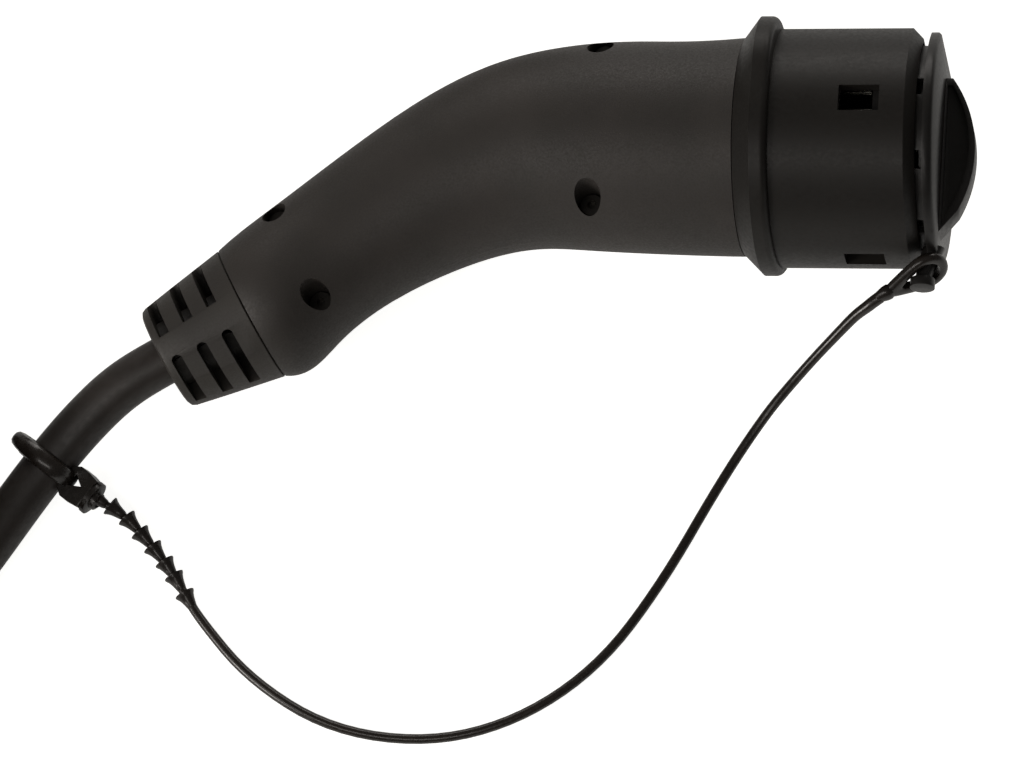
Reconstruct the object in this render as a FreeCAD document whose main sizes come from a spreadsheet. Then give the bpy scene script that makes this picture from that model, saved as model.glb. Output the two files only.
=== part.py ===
import FreeCAD, Part
import math
import os
import re
import Sketcher

os.makedirs("parts", exist_ok=True)

# Type 2 charging cable lying on its side: curved two-shell handle, seven-pin nose, dust cap on a strap.
# Each connector is drawn in its own frame: X out of the nose, Y towards the flat top, Z across the
# two shells, with its origin on the nose axis at the front face of the flange.

doc = FreeCAD.newDocument("charging_cable")
sheet = doc.addObject("Spreadsheet::Sheet", "sizes")

values = {
    # nose and flange
    "nose_radius": 31.5,
    "nose_flat": 25.0,
    "nose_wall": 3.4,
    "nose_length": 37.0,
    "nose_edge": 2.6,
    "flange_radius": 33.6,
    "flange_flat": 28.8,
    "flange_corner": 19.0,
    "flange_width": 4.5,
    "flange_back": 5.0,
    "flange_round": 1.8,
    "window_length": 10.3,
    "window_width": 7.0,
    "window_inset": 9.0,
    "seat_depth": 4.0,
    "spigot_length": 14.0,
    "groove_inset": 5.0,
    "groove_width": 3.0,
    "groove_depth": 1.5,
    "fit_gap": 0.2,
    # contacts
    "carrier_front": 6.0,
    "carrier_boss": 8.0,
    "boss_radius": 22.0,
    "retainer_width": 3.0,
    "retainer_screw": 18.4,
    "power_radius": 3.0,
    "signal_radius": 1.5,
    "power_pitch": 16.0,
    "lower_pitch": 8.0,
    "lower_drop": 13.8,
    "signal_pitch": 8.0,
    "signal_rise": 13.0,
    "power_reach": 29.0,
    "signal_reach": 24.0,
    "pin_tip": 1.0,
    "pin_gap": 0.05,
    "seat_extra": 0.3,
    "collar_extra": 1.0,
    "collar_width": 2.0,
    "barrel_extra": 0.6,
    "barrel_length": 12.0,
    "bore_depth": 7.0,
    "power_core": 1.8,
    "signal_core": 1.0,
    "core_gap": 0.15,
    "socket_gap": 0.5,
    "socket_wall": 1.5,
    "socket_floor": 2.0,
    "socket_inset": 4.0,
    "core_ring": 3.45,
    "core_bury": 3.0,
    "resistor_radius": 1.3,
    "resistor_length": 5.0,
    "lead_radius": 0.4,
    # handle shells
    "front_radius": 28.6,
    "bend_start_radius": 27.3,
    "bend_mid_radius": 24.9,
    "bend_end_radius": 21.9,
    "tail_radius": 19.4,
    "heel_radius": 20.4,
    "end_radius": 18.8,
    "handle_wall": 3.0,
    "bend_place": 75.0,
    "bend_angle": 35.0,
    "bend_radius": 76.0,
    "tail_place": 118.0,
    "tail_drop": 30.0,
    "heel_place": 130.6,
    "heel_drop": 42.2,
    "end_place": 138.9,
    "end_drop": 47.9,
    "end_angle": 31.0,
    # screws
    "front_screw_place": 47.6,
    "front_screw_offset": 21.2,
    "rear_screw_inset": 17.8,
    "rear_screw_offset": 13.3,
    "rear_screw_shift": 2.7,
    "front_screw_seat": 9.0,
    "rear_screw_seat": 6.0,
    "hole_radius": 3.5,
    "post_wall": 1.5,
    "head_radius": 2.9,
    "head_height": 2.2,
    "shank_radius": 1.5,
    "screw_bite": 7.0,
    "screw_gap": 0.15,
    # bend relief and cable
    "relief_length": 26.0,
    "relief_end_radius": 14.4,
    "relief_edge": 1.6,
    "relief_spigot": 10.0,
    "relief_core": 9.4,
    "slot_width": 3.0,
    "slot_pitch": 7.3,
    "slot_inset": 7.4,
    "slot_angle": 68.0,
    "cable_radius": 6.5,
    "cable_gap": 0.1,
    "entry_reach": 36.0,
    "sheath_gap": 0.4,
    "clamp_place": 24.0,
    "clamp_length": 8.0,
    "clamp_radius": 10.4,
    "clamp_slit": 1.6,
    "ear_width": 6.0,
    "ear_height": 9.0,
    "gasket_width": 2.2,
    "gasket_radius": 14.8,
    # dust cap and its post
    "cap_radius": 30.4,
    "cap_flat": 24.0,
    "cap_thickness": 2.6,
    "cap_standoff": 2.0,
    "skirt_depth": 11.0,
    "skirt_wall": 2.4,
    "skirt_slot": 4.8,
    "skirt_count": 9.0,
    "seal_width": 2.0,
    "seal_depth": 1.2,
    "fin_reach": 8.4,
    "fin_top": 18.2,
    "fin_bottom": 25.5,
    "fin_corner": 1.8,
    "fin_heel": 4.6,
    "fin_curve": 37.0,
    "fin_web": 3.4,
    "fin_bead": 6.4,
    "bead_width": 2.0,
    "peg_radius": 2.9,
    "peg_length": 9.5,
    "button_radius": 5.6,
    "button_height": 2.4,
    # strap
    "eyelet_radius": 9.0,
    "eyelet_hole": 5.3,
    "eyelet_width": 2.6,
    "eyelet_drop": 5.2,
    "eyelet_turn": 20.0,
    "neck_width": 6.0,
    "neck_reach": 15.0,
    "strap_radius": 1.3,
    "barb_radius": 2.4,
    "barb_length": 3.8,
    "loop_wall": 1.5,
    "loop_gap": 0.3,
    "loop_width": 5.6,
    "block_length": 9.0,
    "block_width": 8.4,
    "block_height": 7.0,
    "block_drop": 5.6,
    # coil
    "coil_radius": 75.0,
    "coil_pitch": 12.4,
    "join_x": -201.7,
    "join_y": -107.9,
    "coil_turn": -30.0,
    "stub_length": 50.0,
    "stub_start": 20.0,
    "tie_wall": 1.5,
    "tie_width": 20.0,
    "tie_gap": 0.75,
    "far_x": -121.4,
    "far_y": 106.4,
    "far_turn": 0.0,
    # rest pose on the floor
    "rest_pitch": 5.85,
    "base_x": 58.9,
    "base_y": 22.0,
}

for row, (name, value) in enumerate(values.items(), start=1):
    sheet.set("A%d" % row, name)
    sheet.set("B%d" % row, str(value))
    sheet.setAlias("B%d" % row, name)
doc.recompute()

# sizes that follow from others, as formulas
spigot_radius = "(front_radius - handle_wall - fit_gap)"
handle_front = "(flange_width + flange_back + fit_gap)"
shroud_inner = "(nose_radius - nose_wall)"
inner_flat = "(nose_flat - nose_wall)"
groove_start = "(flange_width + flange_back + groove_inset)"
relief_bore = "(cable_radius + cable_gap)"
cap_back = "(nose_length + cap_standoff)"
cap_front = "(nose_length + cap_standoff + cap_thickness)"
skirt_radius = "(nose_radius - nose_wall - fit_gap)"
skirt_flat = "(nose_flat - nose_wall - fit_gap)"
carrier_back = "(seat_depth + carrier_boss)"
socket_foot = "(nose_length - socket_inset - power_reach - socket_floor)"


def link(text):
    """Formula with every size named in it tied to the sheet."""
    return re.sub(r"[a-z]+(?:_[a-z]+)+", lambda m: "sizes." + m.group(0), text)


def size(text):
    return float(sheet.evalExpression(link(text)))


def bind(item, prop, text):
    item.setExpression(prop, link(text))


def turn(axis, angle):
    return FreeCAD.Rotation(FreeCAD.Vector(*axis), angle)


def shift(x, y, z=0):
    return FreeCAD.Placement(FreeCAD.Vector(x, y, z), FreeCAD.Rotation())


# The connector lies on the side of its flange and on its heel, so its nose points up a little
rest_angle = math.radians(size("rest_pitch"))
rest_lift = size("flange_radius") * math.cos(rest_angle) + size("flange_width") * math.sin(rest_angle)
rest = FreeCAD.Placement(
    FreeCAD.Vector(size("base_x"), size("base_y"), rest_lift),
    turn((0, 1, 0), -size("rest_pitch")),
)
far_rest = FreeCAD.Placement(
    FreeCAD.Vector(size("far_x + base_x"), size("far_y + base_y"), rest_lift),
    turn((0, 0, 1), size("far_turn")) * turn((0, 1, 0), -size("rest_pitch")),
)
tail_turn = turn((0, 0, 1), 180 + size("end_angle"))
tail = FreeCAD.Placement(
    FreeCAD.Vector(-size("end_place"), -size("end_drop"), 0), tail_turn
)
nodes = []


def keep(item, name, place):
    item.Label = name
    item.Placement = place
    nodes.append(item)
    return item


# Part primitives and booleans

def cylinder(name, radius, height, place=None):
    item = doc.addObject("Part::Cylinder", name)
    bind(item, "Radius", radius)
    bind(item, "Height", height)
    if place:
        item.Placement = place
    return item


def cut(name, base, tool):
    item = doc.addObject("Part::Cut", name)
    item.Base = base
    item.Tool = tool
    return item


def common(name, base, tool):
    item = doc.addObject("Part::Common", name)
    item.Base = base
    item.Tool = tool
    return item


def fuse(name, shapes):
    item = doc.addObject("Part::MultiFuse", name)
    item.Shapes = shapes
    return item


# PartDesign bodies and their sketches

def new_body(name):
    return doc.addObject("PartDesign::Body", name + "_body")


def new_sketch(body, name, role, offset=None):
    plane = [f for f in body.Origin.OriginFeatures if f.Role == role][0]
    sketch = body.newObject("Sketcher::SketchObject", name)
    sketch.AttachmentSupport = [(plane, "")]
    sketch.MapMode = "FlatFace"
    if offset:
        bind(sketch, "AttachmentOffset.Base.z", offset)
    return sketch


def limit(sketch, kind, target, text):
    """Constraint whose value is a formula."""
    number = sketch.addConstraint(Sketcher.Constraint(kind, *target, size(text)))
    bind(sketch, "Constraints[%d]" % number, text)


def pin_down(sketch, edge, end, across, along):
    limit(sketch, "DistanceX", (-1, 1, edge, end), across)
    limit(sketch, "DistanceY", (-1, 1, edge, end), along)


def outline(sketch, corners, bulges=None):
    """Closed outline through corners given as pairs of formulas; a bulge makes an edge an arc."""
    rough = [FreeCAD.Vector(size(across), size(along), 0) for across, along in corners]
    count = len(corners)
    bulges = bulges or {}
    for k in range(count):
        start, end = rough[k], rough[(k + 1) % count]
        if k in bulges:
            radius = size(bulges[k])
            chord = end - start
            rise = math.sqrt(radius ** 2 - chord.Length ** 2 / 4)
            normal = FreeCAD.Vector(-chord.y, chord.x, 0).normalize()
            middle = (start + end) / 2 + normal * (radius - rise)
            sketch.addGeometry(Part.Arc(end, middle, start))
        else:
            sketch.addGeometry(Part.LineSegment(start, end))
    ends = []
    for k in range(count):
        flipped = k in bulges and sketch.Geometry[k].StartPoint.distanceToPoint(rough[k]) > 1e-6
        ends.append((2, 1) if flipped else (1, 2))
    for k in range(count):
        after = (k + 1) % count
        sketch.addConstraint(
            Sketcher.Constraint("Coincident", k, ends[k][1], after, ends[after][0])
        )
    for k in range(count):
        pin_down(sketch, k, ends[k][0], *corners[k])
    for k, radius in bulges.items():
        limit(sketch, "Radius", (k,), radius)
    return sketch


def circle_at(sketch, radius, across="0", along="0"):
    place = FreeCAD.Vector(size(across), size(along), 0)
    ring = sketch.addGeometry(Part.Circle(place, FreeCAD.Vector(0, 0, 1), size(radius)))
    limit(sketch, "Radius", (ring,), radius)
    pin_down(sketch, ring, 3, across, along)
    return sketch


def flat_circle(sketch, radius, flat):
    """Circle cut by a flat on the side of the sketch's first axis."""
    r, h = size(radius), size(flat)
    half = math.acos(h / r)
    side = r * math.sin(half)
    whole = Part.Circle(FreeCAD.Vector(), FreeCAD.Vector(0, 0, 1), r)
    arc = sketch.addGeometry(Part.ArcOfCircle(whole, half, 2 * math.pi - half))
    line = sketch.addGeometry(
        Part.LineSegment(FreeCAD.Vector(h, -side, 0), FreeCAD.Vector(h, side, 0))
    )
    sketch.addConstraint(Sketcher.Constraint("Coincident", arc, 3, -1, 1))
    sketch.addConstraint(Sketcher.Constraint("Coincident", arc, 2, line, 1))
    sketch.addConstraint(Sketcher.Constraint("Coincident", line, 2, arc, 1))
    sketch.addConstraint(Sketcher.Constraint("Vertical", line))
    limit(sketch, "Radius", (arc,), radius)
    limit(sketch, "DistanceX", (-1, 1, line, 1), flat)
    return sketch


def squared_circle(sketch, radius, flat, corner):
    """Half round below, then straight sides and a flat joined by rounded corners."""
    r, h, c = size(radius), size(flat), size(corner)
    quarter = math.pi / 2

    def arc(x, y, radius_of, start, sweep):
        whole = Part.Circle(FreeCAD.Vector(x, y, 0), FreeCAD.Vector(0, 0, 1), radius_of)
        return sketch.addGeometry(Part.ArcOfCircle(whole, start, start + sweep))

    def line(x1, y1, x2, y2):
        return sketch.addGeometry(
            Part.LineSegment(FreeCAD.Vector(x1, y1, 0), FreeCAD.Vector(x2, y2, 0))
        )

    bottom = arc(0, 0, r, quarter, math.pi)
    side_one = line(0, -r, h - c, -r)
    corner_one = arc(h - c, c - r, c, 3 * quarter, quarter)
    top = line(h, c - r, h, r - c)
    corner_two = arc(h - c, r - c, c, 0, quarter)
    side_two = line(h - c, r, 0, r)
    loop = [bottom, side_one, corner_one, top, corner_two, side_two]
    for first, second in zip(loop, loop[1:] + loop[:1]):
        sketch.addConstraint(Sketcher.Constraint("Tangent", first, 2, second, 1))
    sketch.addConstraint(Sketcher.Constraint("Coincident", bottom, 3, -1, 1))
    sketch.addConstraint(Sketcher.Constraint("Vertical", top))
    sketch.addConstraint(Sketcher.Constraint("Equal", corner_one, corner_two))
    limit(sketch, "Radius", (bottom,), radius)
    limit(sketch, "Radius", (corner_one,), corner)
    limit(sketch, "DistanceX", (-1, 1, top, 1), flat)
    return sketch


def feature(body, kind, name, sketch, length=None, reverse=False, both=False):
    item = body.newObject("PartDesign::" + kind, name)
    item.Profile = sketch
    if length:
        bind(item, "Length", length)
    item.Reversed = reverse
    item.Midplane = both
    return item


def revolved(body, name, sketch, kind="Revolution"):
    item = body.newObject("PartDesign::" + kind, name)
    item.Profile = sketch
    item.ReferenceAxis = (sketch, ["H_Axis"])
    item.Angle = 360
    return item


def edges_where(item, test):
    doc.recompute()
    return ["Edge%d" % n for n, e in enumerate(item.Shape.Edges, 1) if test(e, e.BoundBox)]


def at(value, text):
    return abs(value - size(text)) < 0.01


def chamfer(body, name, base, test, width):
    item = body.newObject("PartDesign::Chamfer", name)
    item.Base = (base, edges_where(base, test))
    bind(item, "Size", width)
    return item


def fillet(body, name, base, test, radius):
    item = body.newObject("PartDesign::Fillet", name)
    item.Base = (base, edges_where(base, test))
    bind(item, "Radius", radius)
    return item


# Nose shroud: flange, flat-topped nose with four windows, and the spigot that the shells hold
def make_nose_shroud(name, place, windows=True):
    body = new_body(name)
    flange = squared_circle(
        new_sketch(body, name + "_flange", "YZ_Plane", "-flange_width"),
        "flange_radius", "flange_flat", "flange_corner",
    )
    plate = feature(body, "Pad", name + "_plate", flange, "flange_width")
    rounded = fillet(body, name + "_plate_edge", plate,
                     lambda e, b: at(b.XMin, "0") and at(b.XMax, "0"), "flange_round")
    back = squared_circle(
        new_sketch(body, name + "_back", "YZ_Plane", "-flange_width - flange_back"),
        "front_radius", "front_radius", "front_radius - 1",
    )
    cone = body.newObject("PartDesign::AdditiveLoft", name + "_cone")
    cone.Profile = flange
    cone.Sections = [back]
    cone.Ruled = True
    nose = flat_circle(new_sketch(body, name + "_nose", "YZ_Plane"), "nose_radius", "nose_flat")
    tube = feature(body, "Pad", name + "_tube", nose, "nose_length")
    chamfer(body, name + "_mouth_edge", tube,
            lambda e, b: at(b.XMin, "nose_length") and at(b.XMax, "nose_length"), "nose_edge")
    spigot = circle_at(
        new_sketch(body, name + "_spigot", "YZ_Plane", "-flange_width - flange_back"), spigot_radius
    )
    feature(body, "Pad", name + "_spigot_pad", spigot, "spigot_length", reverse=True)
    groove = outline(new_sketch(body, name + "_groove", "XY_Plane"), [
        ("-" + groove_start, spigot_radius + " - groove_depth"),
        ("-" + groove_start, "front_radius + 5"),
        ("-" + groove_start + " - groove_width", "front_radius + 5"),
        ("-" + groove_start + " - groove_width", spigot_radius + " - groove_depth"),
    ])
    revolved(body, name + "_groove_cut", groove, "Groove")
    mouth = flat_circle(new_sketch(body, name + "_mouth", "YZ_Plane", "nose_length"),
                        shroud_inner, inner_flat)
    feature(body, "Pocket", name + "_mouth_cut", mouth, "nose_length + seat_depth")
    bore = circle_at(new_sketch(body, name + "_bore", "YZ_Plane"), "boss_radius + fit_gap")
    feature(body, "Pocket", name + "_bore_cut", bore,
            "flange_width + flange_back + spigot_length + 1")
    for role in ("XY_Plane", "XZ_Plane") if windows else ():
        side = "_top" if role == "XZ_Plane" else "_side"
        window = outline(new_sketch(body, name + side + "_window", role), [
            ("nose_length - window_inset - window_length", "-window_width / 2"),
            ("nose_length - window_inset", "-window_width / 2"),
            ("nose_length - window_inset", "window_width / 2"),
            ("nose_length - window_inset - window_length", "window_width / 2"),
        ])
        feature(body, "Pocket", name + side + "_window_cut", window, "3 * nose_radius", both=True)
    return keep(body, name, place)


contacts = {
    "pe": ("0", "0", "power"),
    "n": ("0", "power_pitch", "power"),
    "l_one": ("0", "-power_pitch", "power"),
    "l_two": ("-lower_drop", "-lower_pitch", "power"),
    "l_three": ("-lower_drop", "lower_pitch", "power"),
    "control_pilot": ("signal_rise", "signal_pitch", "signal"),
    "proximity_pilot": ("signal_rise", "-signal_pitch", "signal"),
}


# Contact carrier: keyed insulator disc with a boss behind it, bored and counterbored for the pins
def make_carrier(name, place):
    body = new_body(name)
    disc = flat_circle(new_sketch(body, name + "_disc", "YZ_Plane", "-seat_depth"),
                       skirt_radius, skirt_flat)
    feature(body, "Pad", name + "_disc_pad", disc, "seat_depth + carrier_front")
    boss = circle_at(new_sketch(body, name + "_boss", "YZ_Plane", "-seat_depth"), "boss_radius")
    feature(body, "Pad", name + "_boss_pad", boss, "carrier_boss", reverse=True)
    for contact, (rise, across, kind) in contacts.items():
        hole = circle_at(
            new_sketch(body, "%s_%s_hole" % (name, contact), "YZ_Plane", "carrier_front"),
            kind + "_radius + seat_extra + pin_gap", rise, across,
        )
        feature(body, "Pocket", "%s_%s_bore" % (name, contact), hole,
                "carrier_front + seat_depth + carrier_boss + 1")
        step = circle_at(
            new_sketch(body, "%s_%s_step" % (name, contact), "YZ_Plane", "-" + carrier_back),
            kind + "_radius + collar_extra + pin_gap", rise, across,
        )
        feature(body, "Pocket", "%s_%s_counterbore" % (name, contact), step,
                "collar_width", reverse=True)
    drill_for_retainer(body, name, "2 * collar_width + 2")
    return keep(body, name, place)


def drill_for_retainer(body, name, depth):
    for k, rise in enumerate(("retainer_screw", "-retainer_screw")):
        hole = circle_at(new_sketch(body, "%s_screw%d" % (name, k + 1), "YZ_Plane", "-" + carrier_back),
                         "shank_radius + pin_gap", rise, "0")
        feature(body, "Pocket", "%s_screw_bore%d" % (name, k + 1), hole, depth, both=True)


# Contact pin: turned, with a collar trapped behind the carrier and a crimp barrel
def make_pin(name, rise, across, kind, place):
    body = new_body(name)
    radius = kind + "_radius"
    barrel = radius + " + barrel_extra"
    back = "-" + carrier_back
    profile = outline(new_sketch(body, name + "_profile", "XY_Plane"), [
        (back + " - barrel_length + bore_depth", "0"),
        (back + " - barrel_length + bore_depth", kind + "_core + core_gap"),
        (back + " - barrel_length", kind + "_core + core_gap"),
        (back + " - barrel_length", barrel),
        (back, barrel),
        (back, radius + " + collar_extra"),
        (back + " + collar_width", radius + " + collar_extra"),
        (back + " + collar_width", radius + " + seat_extra"),
        ("carrier_front", radius + " + seat_extra"),
        ("carrier_front", radius),
        (kind + "_reach - pin_tip", radius),
        (kind + "_reach", radius + " - pin_tip"),
        (kind + "_reach", "0"),
    ])
    revolved(body, name + "_turned", profile)
    return keep(body, name, place * shift(0, size(rise), size(across)))


# Retainer plate screwed behind the carrier, with a hole for each barrel
def make_retainer(name, place):
    body = new_body(name)
    disc = circle_at(new_sketch(body, name + "_disc", "YZ_Plane", "-" + carrier_back), "boss_radius")
    feature(body, "Pad", name + "_pad", disc, "retainer_width", reverse=True)
    for contact, (rise, across, kind) in contacts.items():
        hole = circle_at(
            new_sketch(body, "%s_%s_hole" % (name, contact), "YZ_Plane", "-" + carrier_back),
            kind + "_radius + barrel_extra + pin_gap", rise, across,
        )
        feature(body, "Pocket", "%s_%s_bore" % (name, contact), hole,
                "retainer_width + 1")
    drill_for_retainer(body, name, "2 * retainer_width + 2")
    return keep(body, name, place)


# Handle: lofts through round sections along a straight front, a bend, a tail and a heel
def section(name, radius, x, y, angle):
    ring = doc.addObject("Part::Circle", name)
    bind(ring, "Radius", radius)
    ring.Placement = FreeCAD.Placement(
        FreeCAD.Vector(size(x), size(y), 0), turn((0, 0, 1), angle) * turn((0, 1, 0), 90)
    )
    bind(ring, "Placement.Base.x", x)
    bind(ring, "Placement.Base.y", y)
    return ring


def bend_point(share):
    """Place along the bend, from its start (0) to its end (1), as formulas and an angle."""
    reach = "bend_radius * tan(bend_angle / 2)"
    part = "bend_angle * %s" % share
    x = "-bend_place + %s - bend_radius * sin(%s)" % (reach, part)
    y = "-bend_radius * (1 - cos(%s))" % part
    return x, y, size("bend_angle") * share


def make_loft(name, less):
    stations = [
        ("front", "front_radius", "-" + handle_front, "0", 0),
        ("grip", "bend_start_radius + 0.5", "-bend_place + 34", "0", 0),
        ("bend_start", "bend_start_radius", *bend_point(0)),
        ("bend_mid", "bend_mid_radius", *bend_point(0.5)),
        ("bend_end", "bend_end_radius", *bend_point(1)),
        ("tail", "tail_radius", "-tail_place", "-tail_drop", size("bend_angle")),
        ("heel", "heel_radius", "-heel_place", "-heel_drop", size("end_angle")),
        ("end", "end_radius", "-end_place", "-end_drop", size("end_angle")),
    ]
    loft = doc.addObject("Part::Loft", name)
    loft.Sections = [
        section("%s_%s" % (name, label), radius + less, x, y, angle)
        for label, radius, x, y, angle in stations
    ]
    loft.Solid = True
    loft.Ruled = False
    loft.MaxDegree = 3
    return loft


def screw_places():
    """The four screws as (x, y, depth of the head's seat)."""
    front, offset = size("front_screw_place"), size("front_screw_offset")
    angle = math.radians(size("end_angle"))
    back = size("rear_screw_inset")
    side = size("rear_screw_offset")
    lean = size("rear_screw_shift")
    x = -size("end_place") + back * math.cos(angle) - lean * math.sin(angle)
    y = -size("end_drop") + back * math.sin(angle) + lean * math.cos(angle)
    across = FreeCAD.Vector(-math.sin(angle), math.cos(angle), 0)
    return [
        (-front, offset, "front_screw_seat"),
        (-front, -offset, "front_screw_seat"),
        (x + side * across.x, y + side * across.y, "rear_screw_seat"),
        (x - side * across.x, y - side * across.y, "rear_screw_seat"),
    ]


def along_z(name, radius, x, y, low, high):
    """Upright cylinder between two heights given as formulas."""
    post = cylinder(name, radius, "%s - (%s)" % (high, low), shift(x, y, size(low)))
    bind(post, "Placement.Base.z", low)
    return post


# Handle shell: one half of the hollow loft, with screw posts and a rib for the spigot's groove
def make_shell(name, side, outer, inner, place):
    reach = 60
    half = doc.addObject("Part::Box", name + "_half")
    half.Length, half.Width, half.Height = 220, 160, reach
    half.Placement = shift(-190, -110, 0 if side > 0 else -reach)
    seat = cylinder(name + "_seat", spigot_radius + " + 2 * fit_gap", "spigot_length + 2 * fit_gap")
    seat.Placement = FreeCAD.Placement(FreeCAD.Vector(), turn((0, 1, 0), -90))
    bind(seat, "Placement.Base.x", "-flange_width - flange_back")
    hollow = fuse(name + "_hollow", [inner, seat])
    whole = common(name + "_whole", outer, half)
    rib_outer = cylinder(name + "_rib_outer", "front_radius - handle_wall / 2",
                         "groove_width - 2 * fit_gap")
    rib_inner = cylinder(name + "_rib_inner", spigot_radius + " - groove_depth + fit_gap",
                         "groove_width - 2 * fit_gap")
    for ring in (rib_outer, rib_inner):
        ring.Placement = FreeCAD.Placement(FreeCAD.Vector(), turn((0, 1, 0), -90))
        bind(ring, "Placement.Base.x", "-%s - fit_gap" % groove_start)
    rib = cut(name + "_rib", rib_outer, rib_inner)
    posts, holes = [], []
    for k, (x, y, seat) in enumerate(screw_places()):
        label = "%s_screw%d" % (name, k + 1)
        posts.append(along_z(label + "_post", "hole_radius + post_wall", x, y,
                             "-2" if side > 0 else "-30", "30" if side > 0 else "2"))
        if side > 0:
            holes.append(along_z(label + "_well", "hole_radius", x, y, seat, "40"))
            holes.append(along_z(label + "_shank", "shank_radius + screw_gap", x, y, "-1", seat))
        else:
            holes.append(along_z(label + "_pilot", "shank_radius", x, y,
                                 "-screw_bite - 1", "1"))
    way = cylinder(name + "_sheath_way", "cable_radius + sheath_gap", "entry_reach")
    way.Placement = tail * FreeCAD.Placement(FreeCAD.Vector(), turn((0, 1, 0), -90))
    holes.append(way)
    space = cut(name + "_space", hollow, fuse(name + "_posts", posts + [rib]))
    solid = cut(name + "_solid", whole, space)
    return keep(cut(name + "_drilled", solid, fuse(name + "_holes", holes)), name, place)


# Pan-head screws, one solid each, grouped in one node
def make_screws(name, place):
    screws = []
    for k, (x, y, seat) in enumerate(screw_places()):
        label = "%s_%d" % (name, k + 1)
        head = along_z(label + "_head", "head_radius", x, y, seat, seat + " + head_height")
        shank = along_z(label + "_shank", "shank_radius - pin_gap", x, y, "-screw_bite", seat)
        drive = along_z(label + "_drive", "head_radius / 2.5", x, y,
                        seat + " + head_height - 1.2", seat + " + head_height + 1")
        screws.append(cut(label, fuse(label + "_body", [head, shank]), drive))
    group = doc.addObject("Part::Compound", name + "_group")
    group.Links = screws
    return keep(group, name, place)


# Bend relief: tapered rubber sleeve with three rings of slots, spigoted into the shells
def make_relief(name, place):
    body = new_body(name)
    profile = outline(new_sketch(body, name + "_profile", "XY_Plane"), [
        ("-relief_spigot", relief_bore),
        ("relief_length", relief_bore),
        ("relief_length", "relief_end_radius - relief_edge"),
        ("relief_length - relief_edge", "relief_end_radius"),
        ("0", "end_radius"),
        ("0", "end_radius - handle_wall - fit_gap"),
        ("-relief_spigot", "end_radius - handle_wall - fit_gap"),
    ])
    revolved(body, name + "_turned", profile)
    sectors = []
    for ring in range(3):
        for quarter in range(4):
            label = "%s_slot_%d_%d" % (name, ring + 1, quarter + 1)
            sector = cylinder(label, "end_radius + 4", "slot_width")
            bind(sector, "Angle", "slot_angle")
            start = 90 * quarter - size("slot_angle") / 2
            sector.Placement = FreeCAD.Placement(
                FreeCAD.Vector(), turn((0, 1, 0), 90) * turn((0, 0, 1), start)
            )
            bind(sector, "Placement.Base.x", "slot_inset + slot_pitch * %d - slot_width / 2" % ring)
            sectors.append(sector)
    core = cylinder(name + "_core", "relief_core", "relief_length + 10")
    core.Placement = FreeCAD.Placement(FreeCAD.Vector(-2, 0, 0), turn((0, 1, 0), 90))
    slots = cut(name + "_slots", fuse(name + "_sectors", sectors), core)
    return keep(cut(name + "_slotted", body, slots), name, place)


# Dust cap: keyed disc with a slotted skirt that plugs the nose, a beaded fin and a strap peg
def make_cap(name, place):
    body = new_body(name)
    disc = flat_circle(new_sketch(body, name + "_disc", "YZ_Plane", cap_back),
                       "cap_radius", "cap_flat")
    plate = feature(body, "Pad", name + "_plate", disc, "cap_thickness")
    chamfer(body, name + "_rim_edge", plate,
            lambda e, b: at(b.XMin, cap_front) and at(b.XMax, cap_front), "0.6")
    skirt = flat_circle(new_sketch(body, name + "_skirt", "YZ_Plane", cap_back),
                        skirt_radius, skirt_flat)
    feature(body, "Pad", name + "_skirt_pad", skirt, "cap_standoff + skirt_depth", reverse=True)
    hollow = flat_circle(
        new_sketch(body, name + "_hollow", "YZ_Plane", cap_back + " - cap_standoff - skirt_depth"),
        skirt_radius + " - skirt_wall", skirt_flat + " - skirt_wall",
    )
    feature(body, "Pocket", name + "_hollow_cut", hollow, "cap_standoff + skirt_depth", reverse=True)
    slot = outline(new_sketch(body, name + "_slot", "XY_Plane"), [
        (cap_back + " - skirt_depth / 2", "nose_radius / 2"),
        (cap_back + " - 0.4", "nose_radius / 2"),
        (cap_back + " - 0.4", "nose_radius + 2"),
        (cap_back + " - skirt_depth / 2", "nose_radius + 2"),
    ])
    cutter = feature(body, "Pocket", name + "_slot_cut", slot, "skirt_slot", both=True)
    around = body.newObject("PartDesign::PolarPattern", name + "_slots")
    around.Originals = [cutter]
    around.Axis = ([f for f in body.Origin.OriginFeatures if f.Role == "X_Axis"][0], [""])
    around.Angle = 360
    bind(around, "Occurrences", "skirt_count")
    body.Tip = around
    web = fin_outline(new_sketch(body, name + "_fin", "XY_Plane"), "0")
    feature(body, "Pad", name + "_fin_pad", web, "fin_web", both=True)
    bead = new_sketch(body, name + "_bead", "XY_Plane")
    fin_outline(bead, "0")
    feature(body, "Pad", name + "_bead_pad", bead, "fin_bead", both=True)
    for side in (1, -1):
        sunk = fin_outline(
            new_sketch(body, "%s_recess%d" % (name, (3 - side) // 2), "XY_Plane",
                       "fin_web / 2" if side > 0 else "-fin_web / 2"),
            "bead_width",
        )
        feature(body, "Pocket", "%s_recess_cut%d" % (name, (3 - side) // 2), sunk,
                "fin_bead", reverse=side > 0)
    peg = circle_at(new_sketch(body, name + "_peg", "XZ_Plane", "cap_radius - 2"),
                    "peg_radius", cap_back + " + cap_thickness / 2")
    feature(body, "Pad", name + "_peg_pad", peg, "peg_length + 2")
    button = circle_at(new_sketch(body, name + "_button", "XZ_Plane", "cap_radius + peg_length"),
                       "button_radius", cap_back + " + cap_thickness / 2")
    feature(body, "Pad", name + "_button_pad", button, "button_height")
    return keep(body, name, place)


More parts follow.
